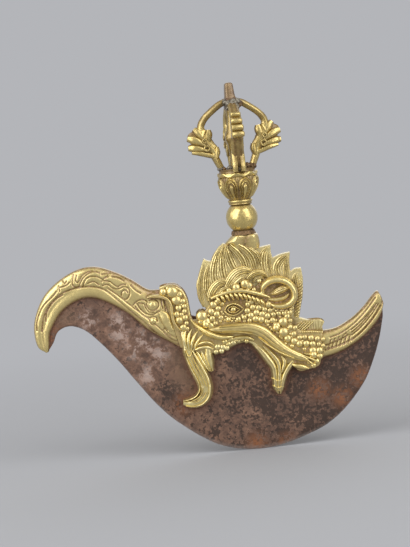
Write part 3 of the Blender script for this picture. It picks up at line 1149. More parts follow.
# %% [markdown]
# ### Horn
#
# The horn is a thick ring beside the brow, with an ear leaf in its hollow. A torus would be too
# even, so it is a strip like the others, a little squarer in section.

# %% Ring of the horn with the ear leaf in its hollow
HORN = [
    [263, 291.4, 1.4, 2.4], [262.6, 286.6, 3, 3.6], [267, 281.6, 3.6, 4.1], [274, 278.8, 3.7, 4.2],
    [282, 279.2, 3.6, 4.2], [289, 283, 3.6, 4.2], [293.4, 289.4, 3.5, 4.2], [293.8, 296.4, 3.4, 4.1],
    [290, 302, 3.4, 4], [283.4, 304.8, 3.1, 3.8], [276, 305, 2.6, 3.4], [270.4, 303, 1.4, 2.4]]
EAR_LEAF = [
    [270.6, 293.4, 1.2, 2.2], [276, 290.6, 3.4, 3.4], [283, 287.4, 3.8, 3.7], [289, 286, 1.8, 2.6]]
EAR_LOBE = [
    [268, 298, 1.4, 1.4], [276, 298.6, 2.4, 1.9], [284, 296.6, 2.2, 1.8], [288.6, 292.6, 1.2, 1.4]]
horn_bm = new_bmesh()
strip(horn_bm, HORN, RELIEF_BASE_MM, fall=0.55)
strip(horn_bm, EAR_LEAF, RELIEF_BASE_MM, grooves=3, cut=0.35)
strip(horn_bm, EAR_LOBE, RELIEF_BASE_MM, cut=0.1)
both_faces(horn_bm, "horn", chased_brass)

# %% [markdown]
# ### Lips
#
# The lips are the broadest forms of the head: a flat band above, a round ribbon below, and a fan
# of rays where they reach the tail's sleeve. The band's fine grooves belong to its section, and
# the heavier lines that catch the light are thin strips laid on it.

# %% Lips: one broad band above and a ribbon below, ending in a fan by the tail's sleeve
LIP_BED = [
    [208, 328.6, 0.9, 1.4], [215, 329, 2.6, 2.4], [226, 328, 4.4, 3.1], [240, 327.4, 5.2, 3.5],
    [252, 327.8, 5.7, 3.6], [262, 331.8, 6.2, 3.7], [270, 338, 6.2, 3.7], [279, 345.8, 5.8, 3.5],
    [289, 351.8, 4.8, 3.2], [299, 355.8, 3.9, 2.8], [308, 358.6, 2.4, 2]]
LIP_STROKES = [
    [[219, 325.4, 0.7, 3.2], [230, 324.6, 1, 3.7], [243, 324, 0.6, 3.5]],
    [[222, 330.4, 0.7, 3.3], [238, 330.8, 1.1, 3.9], [252, 332, 1, 4]],
    [[262, 333, 0.6, 3.9], [272, 341, 0.9, 4], [283, 348.4, 0.6, 3.7]],
    [[258, 336, 0.8, 3.8], [268, 343.6, 1.2, 4], [280, 351, 1.2, 3.8], [294, 357, 0.8, 3.3]]]
LOWER_LIP = [
    [190.6, 318.6, 1.2, 1.8], [196.6, 325, 2.2, 2.8], [204, 330, 2.8, 3.5], [212.4, 334, 3.1, 3.8],
    [221, 336.4, 3.1, 3.8], [227.6, 336, 2.4, 3.4], [233, 335.4, 1.2, 2.4]]
LOWER_LIP_RIM = [
    [191.6, 319.6, 0.7, 2.6], [198.4, 326.6, 1, 3.7], [206, 331.4, 0.9, 4], [213, 334, 0.5, 3.9]]
GUM = [[226, 340.4, 1.8, 1.6], [236, 337.8, 2.6, 2.2], [246, 336.6, 2.6, 2.4], [254, 339.4, 1.6, 2]]
JOWL = [[292.4, 364, 1.4, 1.4], [297.6, 365.4, 2.8, 2.3], [304, 366.6, 2.8, 2.3], [309, 368, 1.2, 1.4]]
GUM_BEADS = [
    [231, 338.2, 2.6], [236.2, 339.6, 2], [241.8, 338.6, 2.4], [246.6, 340.4, 1.8], [225, 341, 2.5],
    [228, 343.6, 1.8]]
CORNER_BEADS = [
    [311.6, 357, 2.4], [316.8, 360.6, 2.4], [313.6, 365, 2.2], [320.2, 355.6, 2.3], [308.8, 361.6, 1.8]]
LIP_FAN = [
    [[304, 352.6, 1, 2.2], [311, 353.6, 1.5, 2.6], [320, 355.6, 1, 1.6]],
    [[304, 354.6, 1, 2.2], [311, 357.8, 1.5, 2.6], [318.6, 361, 1, 1.6]],
    [[304, 356.6, 1, 2.2], [309.6, 361, 1.5, 2.4], [315.4, 365.6, 1, 1.6]]]

# %% Lips in one casting
lip_bm = new_bmesh()
strip(lip_bm, LIP_BED, RELIEF_BASE_MM, grooves=3, cut=0.1, fall=0.36)
strips(lip_bm, LIP_STROKES + LIP_FAN + [LOWER_LIP, LOWER_LIP_RIM, JOWL], RELIEF_BASE_MM)
strip(lip_bm, GUM, RELIEF_BASE_MM - 0.6)
beads(lip_bm, GUM_BEADS + CORNER_BEADS, RELIEF_BASE_MM + 0.4)
both_faces(lip_bm, "lips", olive_brass)

# %% [markdown]
# ### Jaw
#
# Behind the mouth the jaw is covered with beads, under one ribbed band and beside another. They
# were set by eye in loose rows, so these too are placed by hand.

# %% Beads of the jaw, in two rows and a cluster
JAW_BEADS = [
    [283, 321, 3.6], [276.6, 325.4, 3.6], [283.4, 331.4, 3.8], [287.6, 338, 3.2], [290, 326.4, 2.6],
    [293.6, 333.4, 2.6], [294, 340.4, 2.8], [299.6, 337, 2.5], [304.6, 336.6, 2.4], [311, 337.2, 2.4],
    [317.2, 338, 2.5], [299.6, 343, 2.6], [306.4, 343, 3.1], [312.8, 343.4, 2.7], [318.6, 343.6, 2.3],
    [304.6, 348.4, 2], [313, 350.2, 3.3], [319.6, 349.8, 2.7], [323, 338.6, 2], [323, 345, 2],
    [287.2, 315.6, 2.4], [290, 320, 2.2], [295, 327, 2], [292, 345.4, 1.8]]
JAW_RIBS = [
    [[298, 331.4, 1, 1.2], [310, 331, 1.2, 1.4], [322.6, 331.6, 1, 1.2]],
    [[316, 355, 2, 1.2], [320, 352.6, 2.6, 1.4], [323.4, 347, 2, 1.2]]]
jaw_bm = new_bmesh()
beads(jaw_bm, JAW_BEADS, RELIEF_BASE_MM + 0.5)
strips(jaw_bm, JAW_RIBS, RELIEF_BASE_MM, ribs=(1.1, 0.2), cut=0.5)
both_faces(jaw_bm, "jaw_beads", chased_brass)

# %% [markdown]
# ### Tusk, fang and leg
#
# These hang down over the iron, so their base is the face of the blade and not the cheek. The
# tusk curls forward in a broad fluted hook; fang and leg are bundles of tapered strips.

# %% Tusk, which lies on the iron
BLADE_BASE_MM = 1.25
TUSK = [
    [187.6, 345, 5, 3.6], [188.6, 352, 5.4, 4], [193, 361, 6.4, 4], [198, 370, 7.2, 4],
    [203, 379.4, 7.2, 4], [205.6, 388.6, 7, 3.9], [204.4, 396.6, 6.6, 3.8], [199, 402, 5.6, 3.6],
    [191.6, 404.2, 4.4, 3.4], [183.4, 403.6, 2.4, 2.8]]
TUSK_RIM = [
    [192.4, 350, 1.6, 4.8], [197.6, 359, 2, 5.2], [203, 368, 2.3, 5.3], [208, 378, 2.4, 5.3],
    [210.2, 388, 2.4, 5.2], [208.6, 397, 2, 4.9], [203, 403.6, 1.5, 4.6], [194, 406.8, 1.1, 4.2],
    [186, 406.4, 0.7, 3.6]]
TUSK_BACK = [
    [184.4, 350, 1, 4.6], [187.4, 360, 1.2, 4.8], [192, 370, 1.3, 4.8], [197.6, 380, 1.3, 4.8],
    [199.4, 389, 1.2, 4.7], [196.4, 395.6, 1.1, 4.6], [189.4, 399.6, 1, 4.2], [183.4, 401, 0.7, 3.6]]
TUSK_FLUTES = [
    [[189, 354, 0.8, 4.9], [193.6, 364, 1, 5.1], [199, 374.4, 1, 5.1], [203.6, 385, 0.8, 5]],
    [[192.6, 356, 0.8, 4.9], [197.4, 366, 1, 5.1], [203, 376.6, 1, 5.1], [206.6, 386, 0.8, 5]],
    [[206.6, 392, 0.6, 4.9], [203.8, 396.4, 0.9, 5], [199.4, 400.6, 0.8, 4.9], [193.6, 403, 0.6, 4.5]],
    [[202.6, 388, 0.6, 4.9], [201.6, 393.4, 0.8, 5], [197, 398.4, 0.8, 4.8], [190.6, 401.6, 0.6, 4.4]]]

# %% Cap, pleats, loop and strands at the root of the tusk
TUSK_CAP = [[181.8, 327, 1.6, 3.4], [183.2, 336, 3, 4.4], [185.4, 347, 3.2, 4.9]]
PLEATS = [
    [[187.4, 350, 2, 4.4], [184.6, 341, 2.7, 5.2], [184.8, 333, 2.1, 4.6], [187, 327.6, 0.8, 3.2]],
    [[189.4, 350, 2, 4.4], [188.2, 341, 2.7, 5.4], [189.4, 333.4, 2.2, 4.8], [192.4, 327.6, 0.8, 3.2]],
    [[191.4, 350, 1.9, 4.4], [192, 342, 2.6, 5.4], [194.6, 335, 2.1, 4.8], [198, 330.2, 0.8, 3.4]],
    [[193.4, 350, 1.8, 4.2], [196, 343.4, 2.4, 5.2], [199.8, 337.4, 1.8, 4.6], [203.4, 333.6, 0.8, 3.4]]]
TUSK_LOOP = [
    [186, 350, 0.9, 4.6], [187.6, 354.6, 1.1, 5.3], [190.6, 355, 1.1, 5.3], [192, 350.4, 0.9, 4.8]]
SIDE_STRANDS = [
    [[196.4, 350.4, 2, 3.2], [200.4, 358, 2.6, 3.5], [205, 365.4, 2.3, 3.1], [209.6, 371.4, 0.9, 2.2]],
    [[201.4, 350.4, 2.2, 3.4], [204, 358, 2.5, 3.5], [208, 365.4, 2.4, 3], [211.4, 372, 0.7, 2]]]

# %% Fang and rim of the mouth
FANG = [[208, 348, 4.2, 4.2], [208.6, 356, 4.6, 4.2], [210.4, 363.4, 3.8, 3.7], [213, 371, 1.2, 2.2]]
FANG_CAPS = [
    [[195.4, 349, 1.8, 4.6], [201, 346.8, 2.5, 5.2], [208, 346.4, 2.8, 5.2], [213.2, 348.8, 1.4, 4.2]],
    [[196.4, 344.6, 1.1, 4.4], [203, 341.4, 1.7, 5.4], [210.2, 341.6, 1.7, 5.4], [214.4, 345, 0.9, 4.4]]]
MOUTH_RIM = [
    [214, 353.4, 2.4, 2.6], [220.6, 348.8, 3.8, 3], [229, 344.6, 3.6, 3.1], [237.6, 341.2, 3, 3.1],
    [246, 340.2, 2.4, 3], [253, 342, 2.8, 3.2], [258.6, 347, 3, 3.4]]
MOUTH_LUMPS = [
    [217.4, 346.4, 2.6], [223, 346.6, 2.8], [228.4, 343.6, 2.5], [221.6, 350.6, 2.2], [216, 351.4, 2],
    [233.6, 342, 2.2], [227, 347.4, 2.2], [238.4, 340.4, 1.9], [232, 338.4, 1.9], [226, 339.6, 1.8]]

# %% Leg
LEG = [
    [[254, 343.4, 2.6, 3.2], [262, 351, 4, 4.3], [268.4, 359, 4.4, 4.7], [273.8, 367, 3.8, 4.6],
     [275.6, 378, 3.2, 4.2], [276.6, 388, 2.8, 3.7], [278.8, 394, 1, 2.4]],
    [[263, 344.6, 2.2, 4], [271, 352.4, 3, 4.9], [277.6, 360.6, 3.2, 5.2], [279.4, 369, 2.6, 5.1],
     [279.4, 380, 2.6, 4.7], [279.6, 391, 2, 3.6]],
    [[293.4, 360.6, 2.2, 3.8], [289.4, 366, 3.3, 4.3], [285.4, 373, 3.2, 4.4], [283, 381, 3.1, 4.2],
     [281.8, 388.6, 2.4, 3.5], [280.6, 394, 0.9, 2.4]],
    [[281.6, 355, 2, 4.6], [284.6, 361, 2.8, 5.2], [283, 368, 2.2, 5], [281, 373, 0.9, 4.4]]]
LEG_RINGS = [
    [[271.4, 377.6, 0.8, 3.6], [277.6, 380, 1.1, 5], [284.6, 378.4, 0.8, 3.6]],
    [[272.6, 385.4, 0.8, 3.4], [278.4, 387.4, 1.1, 4.6], [284, 385.8, 0.8, 3.4]]]

# %% Tusk, fang and leg in one casting
low_bm = new_bmesh()
strip(low_bm, TUSK, BLADE_BASE_MM, fall=0.4)
strips(low_bm, [TUSK_RIM, TUSK_BACK, TUSK_CAP, TUSK_LOOP, FANG, MOUTH_RIM], BLADE_BASE_MM)
strips(low_bm, TUSK_FLUTES + PLEATS + FANG_CAPS + SIDE_STRANDS, BLADE_BASE_MM)
strips(low_bm, LEG, BLADE_BASE_MM, grooves=1, cut=0.12)
strips(low_bm, LEG_RINGS, BLADE_BASE_MM)
beads(low_bm, MOUTH_LUMPS, BLADE_BASE_MM + 2.6)
both_faces(low_bm, "tusk_and_leg", pale_brass)

# %% [markdown]
# ## Handle
#
# The handle stands along Z and the middle of the ball is the origin, so its pieces are drawn by
# radius and height in millimetres. Each one is a skin over rings of points: the plain grid is
# wrapped round the rings, its seam is merged and both ends are filled. Prongs are bars whose
# section has a ridge on every side, and they stand turned by six degrees, as on the photograph.

# %% A skin over rings
def skin_rings(bm, rings, hollow):
    """Wrap a grid round rings of points in millimetres; hollow holds the dirt for every point."""
    count, around = rings.shape[:2]
    layer = bm.verts.layers.float[HOLLOW]
    verts, column, row = grid_of(bm, around, count - 1)
    column %= around
    for vert, place, depth in zip(verts, rings[row, column] * MM, hollow[row, column]):
        vert.co = place
        vert[layer] = depth
    bmesh.ops.remove_doubles(bm, verts=verts, dist=FINE_SEAM_MM * MM)
    bmesh.ops.holes_fill(bm, edges=[e for e in bm.edges if e.is_boundary], sides=0)


def turned_rings(profile, uneven, around=96, seed=0.0):
    """Rings round the handle's axis from rows of radius and height, a little uneven."""
    line = smooth(profile, 6)
    turn = np.linspace(0, 2 * np.pi, around, endpoint=False)
    radius, height = line[:, :1] + 0 * turn, line[:, 1:2] + 0 * turn
    swell = [[noise.noise(Vector((r * math.cos(t) * 0.5, r * math.sin(t) * 0.5, z * 0.5 + seed)))
              for r, z, t in zip(*row)] for row in zip(radius, height, turn + 0 * radius)]
    radius = radius + uneven * np.array(swell)
    return np.stack([radius * np.cos(turn), radius * np.sin(turn), height], -1)


def one_skin(name, rings, hollow, finish, nodes):
    """A piece that is one skin."""
    bm = new_bmesh()
    skin_rings(bm, rings, hollow)
    make_piece(bm, name, finish, nodes)

# %% [markdown]
# ### Ball and ring
#
# The ball is cast and has been held for years, so a perfect sphere would look wrong. It is turned
# from an arc and swollen a little by slow noise, and so is the thin ring above it.

# %% Ball and the thin ring above it
BALL_RADIUS_MM = 7.95
BALL_END_MM = 6.5
WAIST = [
    [3, 6.4], [5.2, 6.5], [5.7, 6.7], [5.85, 7], [5.7, 7.3], [5.7, 7.45], [5.95, 7.8], [6.1, 8.3],
    [5.9, 8.85], [5.3, 9.05], [3, 9.1]]
end_angle = math.asin(BALL_END_MM / BALL_RADIUS_MM)
ball_line = [[BALL_RADIUS_MM * math.cos(a), BALL_RADIUS_MM * math.sin(a)]
             for a in np.linspace(-end_angle, end_angle, 9)]
ball_profile = [[3, -BALL_END_MM]] + ball_line + [[3, BALL_END_MM]]
ball_rings = turned_rings(ball_profile, uneven=0.12, around=120, seed=4.0)
ball_dirt = 0.55 * soft_step(4.2, BALL_END_MM, np.abs(ball_rings[..., 2]))
one_skin("ball_skin", ball_rings, ball_dirt, handled_brass, ("grip_ball",))
waist_rings = turned_rings(WAIST, uneven=0.1, seed=9.0)
waist_dirt = 0.2 + 0.8 * soft_step(5.95, 5.55, np.linalg.norm(waist_rings[..., :2], axis=-1))
one_skin("waist_beads", waist_rings, waist_dirt, handled_brass, ("waist_ring",))

# %% [markdown]
# ### Lotus
#
# Eight petals stand round the cup. They could be eight pieces, but on the casting they are one
# skin, so one formula of turn and height raises the arches and the leaf of every petal.

# %% Lotus: eight petals, each with two raised arches round a small leaf
LOTUS = np.array([
    [4, 8.95], [5.5, 9.1], [5.8, 9.6], [6.6, 10.9], [7.9, 12.8], [9, 15], [9.6, 17.4], [9.75, 19.2],
    [9.6, 20.3], [9.3, 20.6]])
PETALS = 8
PETAL_FOOT, PETAL_WAIST, PETAL_TIP = 9.8, 15, 20.5
ARCH_MM, LEAF_MM = 0.85, 1.0
# Share of its sector that a petal fills
PETAL_SHARE = 0.94


def petal_relief(turn, height):
    """Relief in millimetres and dirt; e runs from 0 on a petal's outline to 1 at its middle."""
    across = np.abs(((turn / (2 * np.pi) * PETALS) % 1) * 2 - 1)
    up = (height - PETAL_WAIST) / (PETAL_TIP - PETAL_WAIST)
    low = (PETAL_WAIST - height) / (PETAL_WAIST - PETAL_FOOT)
    outline = np.where(up > 0, np.hypot(across / PETAL_SHARE, np.maximum(up, 0)),
                       across / (PETAL_SHARE - 0.3 * np.clip(low, 0, 1)))
    e = 1 - outline
    arches = np.exp(-((e - 0.13) / 0.075)**2) + 0.85 * np.exp(-((e - 0.42) / 0.075)**2)
    leaf = soft_step(0.6, 0.85, e) * (1 - 0.5 * np.clip(low, 0, 1))
    ribs = 0.5 * np.clip(-e, 0, 1) * (1 + np.cos(turn * PETALS * 5))
    relief = ARCH_MM * (arches + ribs) + LEAF_MM * leaf
    relief = relief * soft_step(PETAL_FOOT - 0.6, PETAL_FOOT + 0.8, height)
    return relief, np.clip(0.8 - 1.4 * arches - leaf, 0, 1)


lotus_line = evenly(smooth(LOTUS, 8), 90)
lotus_turn = np.linspace(0, 2 * np.pi, 320, endpoint=False)
LOTUS_TURN = math.radians(2.0)
petal_rise, petal_dirt = petal_relief(lotus_turn[None, :] + LOTUS_TURN, lotus_line[:, 1:2])
lotus_radius = lotus_line[:, :1] - 0.15 + petal_rise
lotus_rings = np.stack([lotus_radius * np.cos(lotus_turn), lotus_radius * np.sin(lotus_turn),
                        lotus_line[:, 1:2] + 0 * lotus_turn], -1)
one_skin("lotus_petals", lotus_rings, petal_dirt, handled_brass, ("lotus_cup",))

# %% [markdown]
# ### Seat and solder
#
# The seat is a turned rim whose lip rises and falls with the petals below it. The solder was run
# in by hand and set in lumps, some grey and some burnt, so each lump is pulled out of round.

# %% Seat of the vajra, whose lip waves with the petals
SEAT_RIM = np.array([
    [8.6, 20.4], [9.4, 20.6], [10, 21.2], [10.05, 21.9], [9.6, 22.5], [9.1, 22.9], [8.9, 23.5], [9, 24.2],
    [8.6, 24.6], [4, 24.7], [0.4, 24.7]])
SEAT_WAVE_MM = 0.6
rim_rings = turned_rings(SEAT_RIM, around=160, uneven=0.15, seed=2.0)
rim_turn = np.arctan2(rim_rings[..., 1], rim_rings[..., 0])
rim_share = soft_step(9.2, 9.9, np.linalg.norm(rim_rings[..., :2], axis=-1))
rim_rings[..., 2] += SEAT_WAVE_MM * rim_share * np.cos(PETALS * rim_turn + 0.6)
one_skin("seat_lip", rim_rings, np.clip(0.9 - rim_share, 0, 1), handled_brass, ("vajra_seat",))

# %% Solder: a dark line under the ball, lumps at the feet of the prongs and round the spike
NECK_SOLDER = [[3, -8.5], [5.9, -8.5], [6.1, -8], [5.7, -7.3], [5.6, -6.8], [5.2, -6.4], [3, -6.4]]
neck_rings = turned_rings(NECK_SOLDER, uneven=0.5, seed=6.0)
one_skin("solder_line", neck_rings, 0 * neck_rings[..., 0] + 0.5, burnt_solder, ("neck_solder",))
# Lumps of solder as x, y, z and radius in millimetres
FOOT_LUMPS = [
    [1.2, -8.4, 24.6, 1.4], [3.4, -8, 24.6, 1.3], [-1, -8.2, 24.8, 1.2], [-7.2, -3, 25, 1.2],
    [-8.8, -2.6, 25, 1.1], [0, 8.4, 25, 1.3], [-6.8, 3.2, 24.9, 1.1], [7, 4, 25, 1.2],
    [3.8, -3.2, 24.9, 1.6], [-3.6, -3.4, 24.9, 1.4]]
BURNT_LUMPS = [
    [5.2, -4.4, 25.3, 1.7], [6.8, -3.6, 25.2, 1.7], [8.4, -3, 25.1, 1.4], [4, -5.2, 25, 1.2],
    [-6, -4.2, 24.8, 1]]
CROWN_LUMPS = [
    [-0.6, -6.4, 57, 1.8], [1.4, -6.6, 57.4, 1.8], [3.2, -6.0, 57.6, 1.6], [0.2, -7.4, 55.2, 1.7],
    [2.4, -7.4, 55, 1.7], [-1.4, -5.8, 55.2, 1.4], [-2.6, -2.6, 57.4, 1.7], [-3, 2, 58, 1.5],
    [1.6, 3.6, 57.8, 1.7], [-1.4, 4, 56.4, 1.7], [0.6, 4.6, 55.4, 1.5]]
REDDISH_LUMPS = [
    [3.8, -5.0, 56.2, 1.7], [4.6, -2.4, 56.6, 1.5], [3.4, 1.6, 57.4, 1.4], [3.4, -5.6, 57.6, 1.2],
    [1.2, -7.2, 56.4, 1.2]]
LUMP_UNEVEN = 0.35


def lumps(name, places, finish, nodes):
    """Small melted lumps, each an icosphere pulled out of round."""
    bm = new_bmesh()
    layer = bm.verts.layers.float[HOLLOW]
    for x, y, z, radius in places:
        made = bmesh.ops.create_icosphere(bm, subdivisions=3, radius=radius * MM)["verts"]
        for vert in made:
            vert.co *= 1 + LUMP_UNEVEN * noise.noise(vert.co * 900 + Vector((x, y, z)))
            vert[layer] = 0.4
        bmesh.ops.translate(bm, verts=made, vec=Vector((x, y, z)) * MM)
    make_piece(bm, name, finish, nodes)


lumps("foot_solder", FOOT_LUMPS, solder_finish, ("seat_solder",))
lumps("burnt_solder", BURNT_LUMPS, burnt_solder, ())
lumps("crown_lumps", CROWN_LUMPS, solder_finish, ("crown_solder",))
lumps("crown_burnt", REDDISH_LUMPS, burnt_solder, ())

# %% [markdown]
# ### Prongs
#
# Four outer prongs rise from the seat and lean together at the top. Each is a bar that follows a
# path in an upright plane: the foot and the arc are shared, and the heads differ. Three heads fan
# out in petals and lobes, and the front one is stepped.

# %% Bars: rows of radius, height, half thickness and half width in millimetres, then the dirt
PRONG_TURN = math.radians(6.0)
# Section of a bar: shares of its half thickness (outward) and of its half width
BAR_CORNERS = np.array([[1, 0.5], [0.2, 1], [-0.9, 0.55], [-0.9, -0.55], [0.2, -1], [1, -0.5], [0.72, 0]])
PETAL_CORNERS = np.array([
    [1, 0.6], [0.3, 1], [-0.6, 0.9], [-1, 0.4], [-1, -0.4], [-0.6, -0.9], [0.3, -1], [1, -0.6]])
BAND_CORNERS = np.array([
    [1, 0.5], [0.75, 0.94], [-0.5, 1], [-1, 0.88], [-1, -0.88], [-0.5, -1], [0.75, -0.94], [1, -0.5]])
CORNER_EASE = (0.1, 0.5, 0.9)
# Step along a bar and its unevenness in millimetres, and the dirt where a row names none
BAR_STEP_MM, BAR_UNEVEN_MM, BAR_DIRT = 0.4, 0.08, 0.1


def bar(bm, path, turn, corners, offset=0.0, edge_dirt=0.45):
    """A bar that follows a path in the upright plane that stands at the given turn round Z."""
    line = smooth([(*row, BAR_DIRT)[:5] for row in path], 8)
    length = np.linalg.norm(np.diff(line[:, :2], axis=0), axis=1).sum()
    line = evenly(line, max(8, int(length / BAR_STEP_MM)))
    ahead = np.gradient(line[:, :2], axis=0)
    ahead /= np.linalg.norm(ahead, axis=1)[:, None]
    following = np.roll(corners, -1, axis=0)
    section = np.vstack([a + (b - a) * t for a, b in zip(corners, following) for t in CORNER_EASE])
    out = section[:, 0] * line[:, 2:3]
    radius = line[:, :1] + ahead[:, 1:2] * out
    height = line[:, 1:2] - ahead[:, :1] * out
    side = section[:, 1] * line[:, 3:4] + offset
    rings = np.stack([radius * math.cos(turn) - side * math.sin(turn),
                      radius * math.sin(turn) + side * math.cos(turn), height], -1)
    rings += [[[BAR_UNEVEN_MM * noise.noise(Vector(p) * 0.8 + Vector((k, 0, 0))) for k in (0, 7, 13)]
               for p in ring] for ring in rings]
    edge = np.exp(-((np.abs(section[:, 0]) - 1) / 0.25)**2)
    skin_rings(bm, rings, np.clip(line[:, 4:] + edge_dirt * edge, 0, 1))

# %% Three prongs whose heads fan out
PRONG_FOOT = [[7.6, 24.4, 1.6, 3], [8.2, 26.2, 1.7, 3.1], [9.2, 28.6, 1.8, 3.2]]
PRONG_ARC = [
    [14.9, 49, 1.8, 3, 0.35], [12.4, 51.8, 1.75, 2.8, 0.4], [8.2, 55, 1.75, 2.6, 0.4],
    [5.4, 56.8, 1.75, 2.4, 0.5], [3, 57.6, 1.7, 2.3, 0.6]]
SIDE_STEM = PRONG_FOOT + [
    [10.2, 31.2, 2, 3.2], [10.4, 34.4, 2.6, 3.2], [13.4, 38.6, 2.6, 3.2], [15, 42.6, 2.6, 3.2],
    [16, 46, 1.9, 3.1]] + PRONG_ARC
STEM_BAND = [[9.6, 30.4, 0.9, 3.5], [9.1, 33.4, 1.5, 3.6], [9.2, 36.2, 1, 3.5]]
PALM = [
    [11.2, 33.8, 2.2, 2.3, 0.7], [13.4, 36.8, 3.8, 2.4, 0.8], [16.4, 38.9, 5.4, 2.3, 0.9],
    [19.4, 39.8, 5.2, 2, 0.9], [21.8, 39.2, 3.8, 1.4, 0.9]]
SIDE_PETALS = [
    [[13.6, 37.6, 0.9, 2.9], [15.4, 41, 1.7, 3.4], [17.6, 43.9, 2, 3], [19.6, 46, 1.3, 1.8]],
    [[14, 36.6, 0.9, 3], [17, 38.9, 1.8, 3.6], [20.4, 40.8, 2.2, 3.1], [23.2, 41.6, 1.5, 1.8]],
    [[13.8, 34.8, 0.9, 3], [17.2, 35.9, 1.7, 3.5], [20.6, 36.6, 2, 3], [23.2, 36.8, 1.4, 1.8]],
    [[10.8, 31.5, 1.2, 3.2], [14.4, 32.9, 1.5, 3.2], [18.2, 33.9, 1.3, 3], [21.6, 34.3, 0.8, 2]]]
HEAD_LOBES = [
    [[12.4, 45, 1.2, 2.3], [12.6, 43, 2, 3], [13, 40.8, 1.9, 3], [12.6, 38.4, 1.1, 2.5]],
    [[14.4, 45, 0.9, 3], [15.6, 42.2, 1.1, 3.6], [15, 39.4, 0.8, 3]]]
HEAD_EYES = [[15, 39.6, 1.0], [14.2, 35.9, 1.3]]
# The eyes of a head: steps round, half thickness and half width, and how far they stand to a side
EYE_STEPS, EYE_THICK_MM, EYE_WIDE_MM, EYE_OFFSET_MM = 13, 0.38, 0.5, 3.3


def side_prong(name, quarter):
    """One prong with a fanned head; quarter counts from the right, against the clock seen from above."""
    bm = new_bmesh()
    turn = quarter * math.pi / 2 + PRONG_TURN
    bar(bm, SIDE_STEM, turn, BAR_CORNERS)
    for path in [STEM_BAND, PALM] + SIDE_PETALS + HEAD_LOBES:
        bar(bm, path, turn, PETAL_CORNERS, edge_dirt=0.8)
    for face in (-1, 1):
        for r, z, size in HEAD_EYES:
            circle = np.linspace(0, 2 * np.pi, EYE_STEPS)
            ring = np.stack([r + size * np.cos(circle), z + size * np.sin(circle),
                             0 * circle + EYE_THICK_MM, 0 * circle + EYE_WIDE_MM], 1)
            bar(bm, ring, turn, PETAL_CORNERS, offset=face * EYE_OFFSET_MM)
    make_piece(bm, name, handled_brass, ("prong_" + name.split("_")[0],))


side_prong("right_prong", 0)
side_prong("back_prong", 1)
side_prong("left_prong", 2)

# %% The front prong, with its stepped head
FRONT_STEM = [[*row, 0.6] for row in PRONG_FOOT] + [
    [9.6, 31.6, 2, 3.2, 0.6], [10.8, 34.4, 1.9, 3.2, 0.45], [12.2, 37, 1.9, 3.2, 0.4],
    [13, 39.6, 2, 3.2, 0.6], [14.6, 42, 2.6, 3.2, 0.4], [15.4, 46, 2.4, 3.1, 0.3]] + PRONG_ARC
FRONT_BANDS = [
    [[13, 50, 1.3, 2.8], [15, 51, 1.4, 2.8], [16.4, 51.8, 1.1, 2.5], [16.8, 52.1, 0.5, 2]],
    [[14.4, 47.2, 1.4, 3], [17.2, 48, 1.5, 3], [18.4, 48.6, 1.3, 2.8], [18.9, 48.9, 0.6, 2.3]],
    [[15, 44.2, 1.5, 3.1], [18.4, 44.9, 1.6, 3.2], [19.8, 45.4, 1.4, 3], [20.4, 45.7, 0.7, 2.5]],
    [[15, 41.2, 1.5, 3.2], [18.6, 41.7, 1.6, 3.3], [20.2, 42.1, 1.4, 3.1], [20.8, 42.4, 0.7, 2.6]]]
# Two facets on the foot of the front prong, which lean away from each other and a little upwards
FRONT_CHEEK = [[10.2, 23.4, 1.3, 1.25], [10.3, 26, 1.7, 1.3], [10, 30, 1.6, 1.25], [9.6, 34, 1.0, 1.15]]
CHEEK_CORNERS = np.array([[1, -0.8], [0.95, -0.2], [0.5, 1], [-1, 1], [-1, -1], [0.4, -1]])
CHEEK_OFFSET_MM = 1.95
front_bm = new_bmesh()
front_turn = -math.pi / 2 + PRONG_TURN
bar(front_bm, FRONT_STEM, front_turn, BAR_CORNERS)
for band in FRONT_BANDS:
    bar(front_bm, band, front_turn, BAND_CORNERS, edge_dirt=0.2)
for face in (-1, 1):
    bar(front_bm, FRONT_CHEEK, front_turn, CHEEK_CORNERS * [1, face], offset=face * CHEEK_OFFSET_MM)
make_piece(front_bm, "front_prong", handled_brass, ("prong_front",))

# %% [markdown]
# ### Middle prong and spike
#
# The middle prong is turned. The block and the spike above it are square, chamfered and worn
# brown, and stand a little off the axis, as in the photograph.

# %% Middle prong, the block at the top and the chamfered spike
MIDDLE = [
    [3.6, 24.4], [3.5, 26], [2.9, 30], [3.4, 36], [4.6, 40], [3.4, 44], [2.6, 50], [2.9, 55], [2.4, 57]]
# Square bar: height, half width and how far it stands off the axis, in millimetres
SPIKE = np.array([
    [53.4, 2.6, 0.2], [54.6, 3.3, 0.3], [58.4, 3.4, 0.3], [59.2, 2.9, 0.1], [60.2, 2.4, -0.1],
    [63, 2.15, -0.2], [65.6, 1.95, -0.2], [66.6, 1.7, -0.2], [67.1, 1.1, -0.2], [67.2, 0.4, -0.2]])
SQUARE = np.array([[1, -1], [1, 1], [-1, 1], [-1, -1]])
SQUARE_EASE = (0.14, 0.4, 0.6, 0.86)
SPIKE_TURN = math.radians(14.0)
middle_rings = turned_rings(MIDDLE, around=48, uneven=0.1)
one_skin("middle_prong", middle_rings, 0 * middle_rings[..., 0] + 0.45, handled_brass, ("centre_spike",))
spike_line = evenly(smooth(SPIKE, 6), 60, columns=1)
square = np.vstack([a + (b - a) * t for a, b in zip(SQUARE, np.roll(SQUARE, -1, axis=0))
                    for t in SQUARE_EASE])
sine, cosine = math.sin(SPIKE_TURN), math.cos(SPIKE_TURN)
turned_square = square @ [[cosine, sine], [-sine, cosine]]
off_axis = np.stack([spike_line[:, 2], 0 * spike_line[:, 2]], 1)[:, None]
spike_flat = turned_square * spike_line[:, 1, None, None] + off_axis
spike_height = np.broadcast_to(spike_line[:, :1, None], spike_flat.shape[:2] + (1,))
spike_rings = np.concatenate([spike_flat, spike_height], -1)
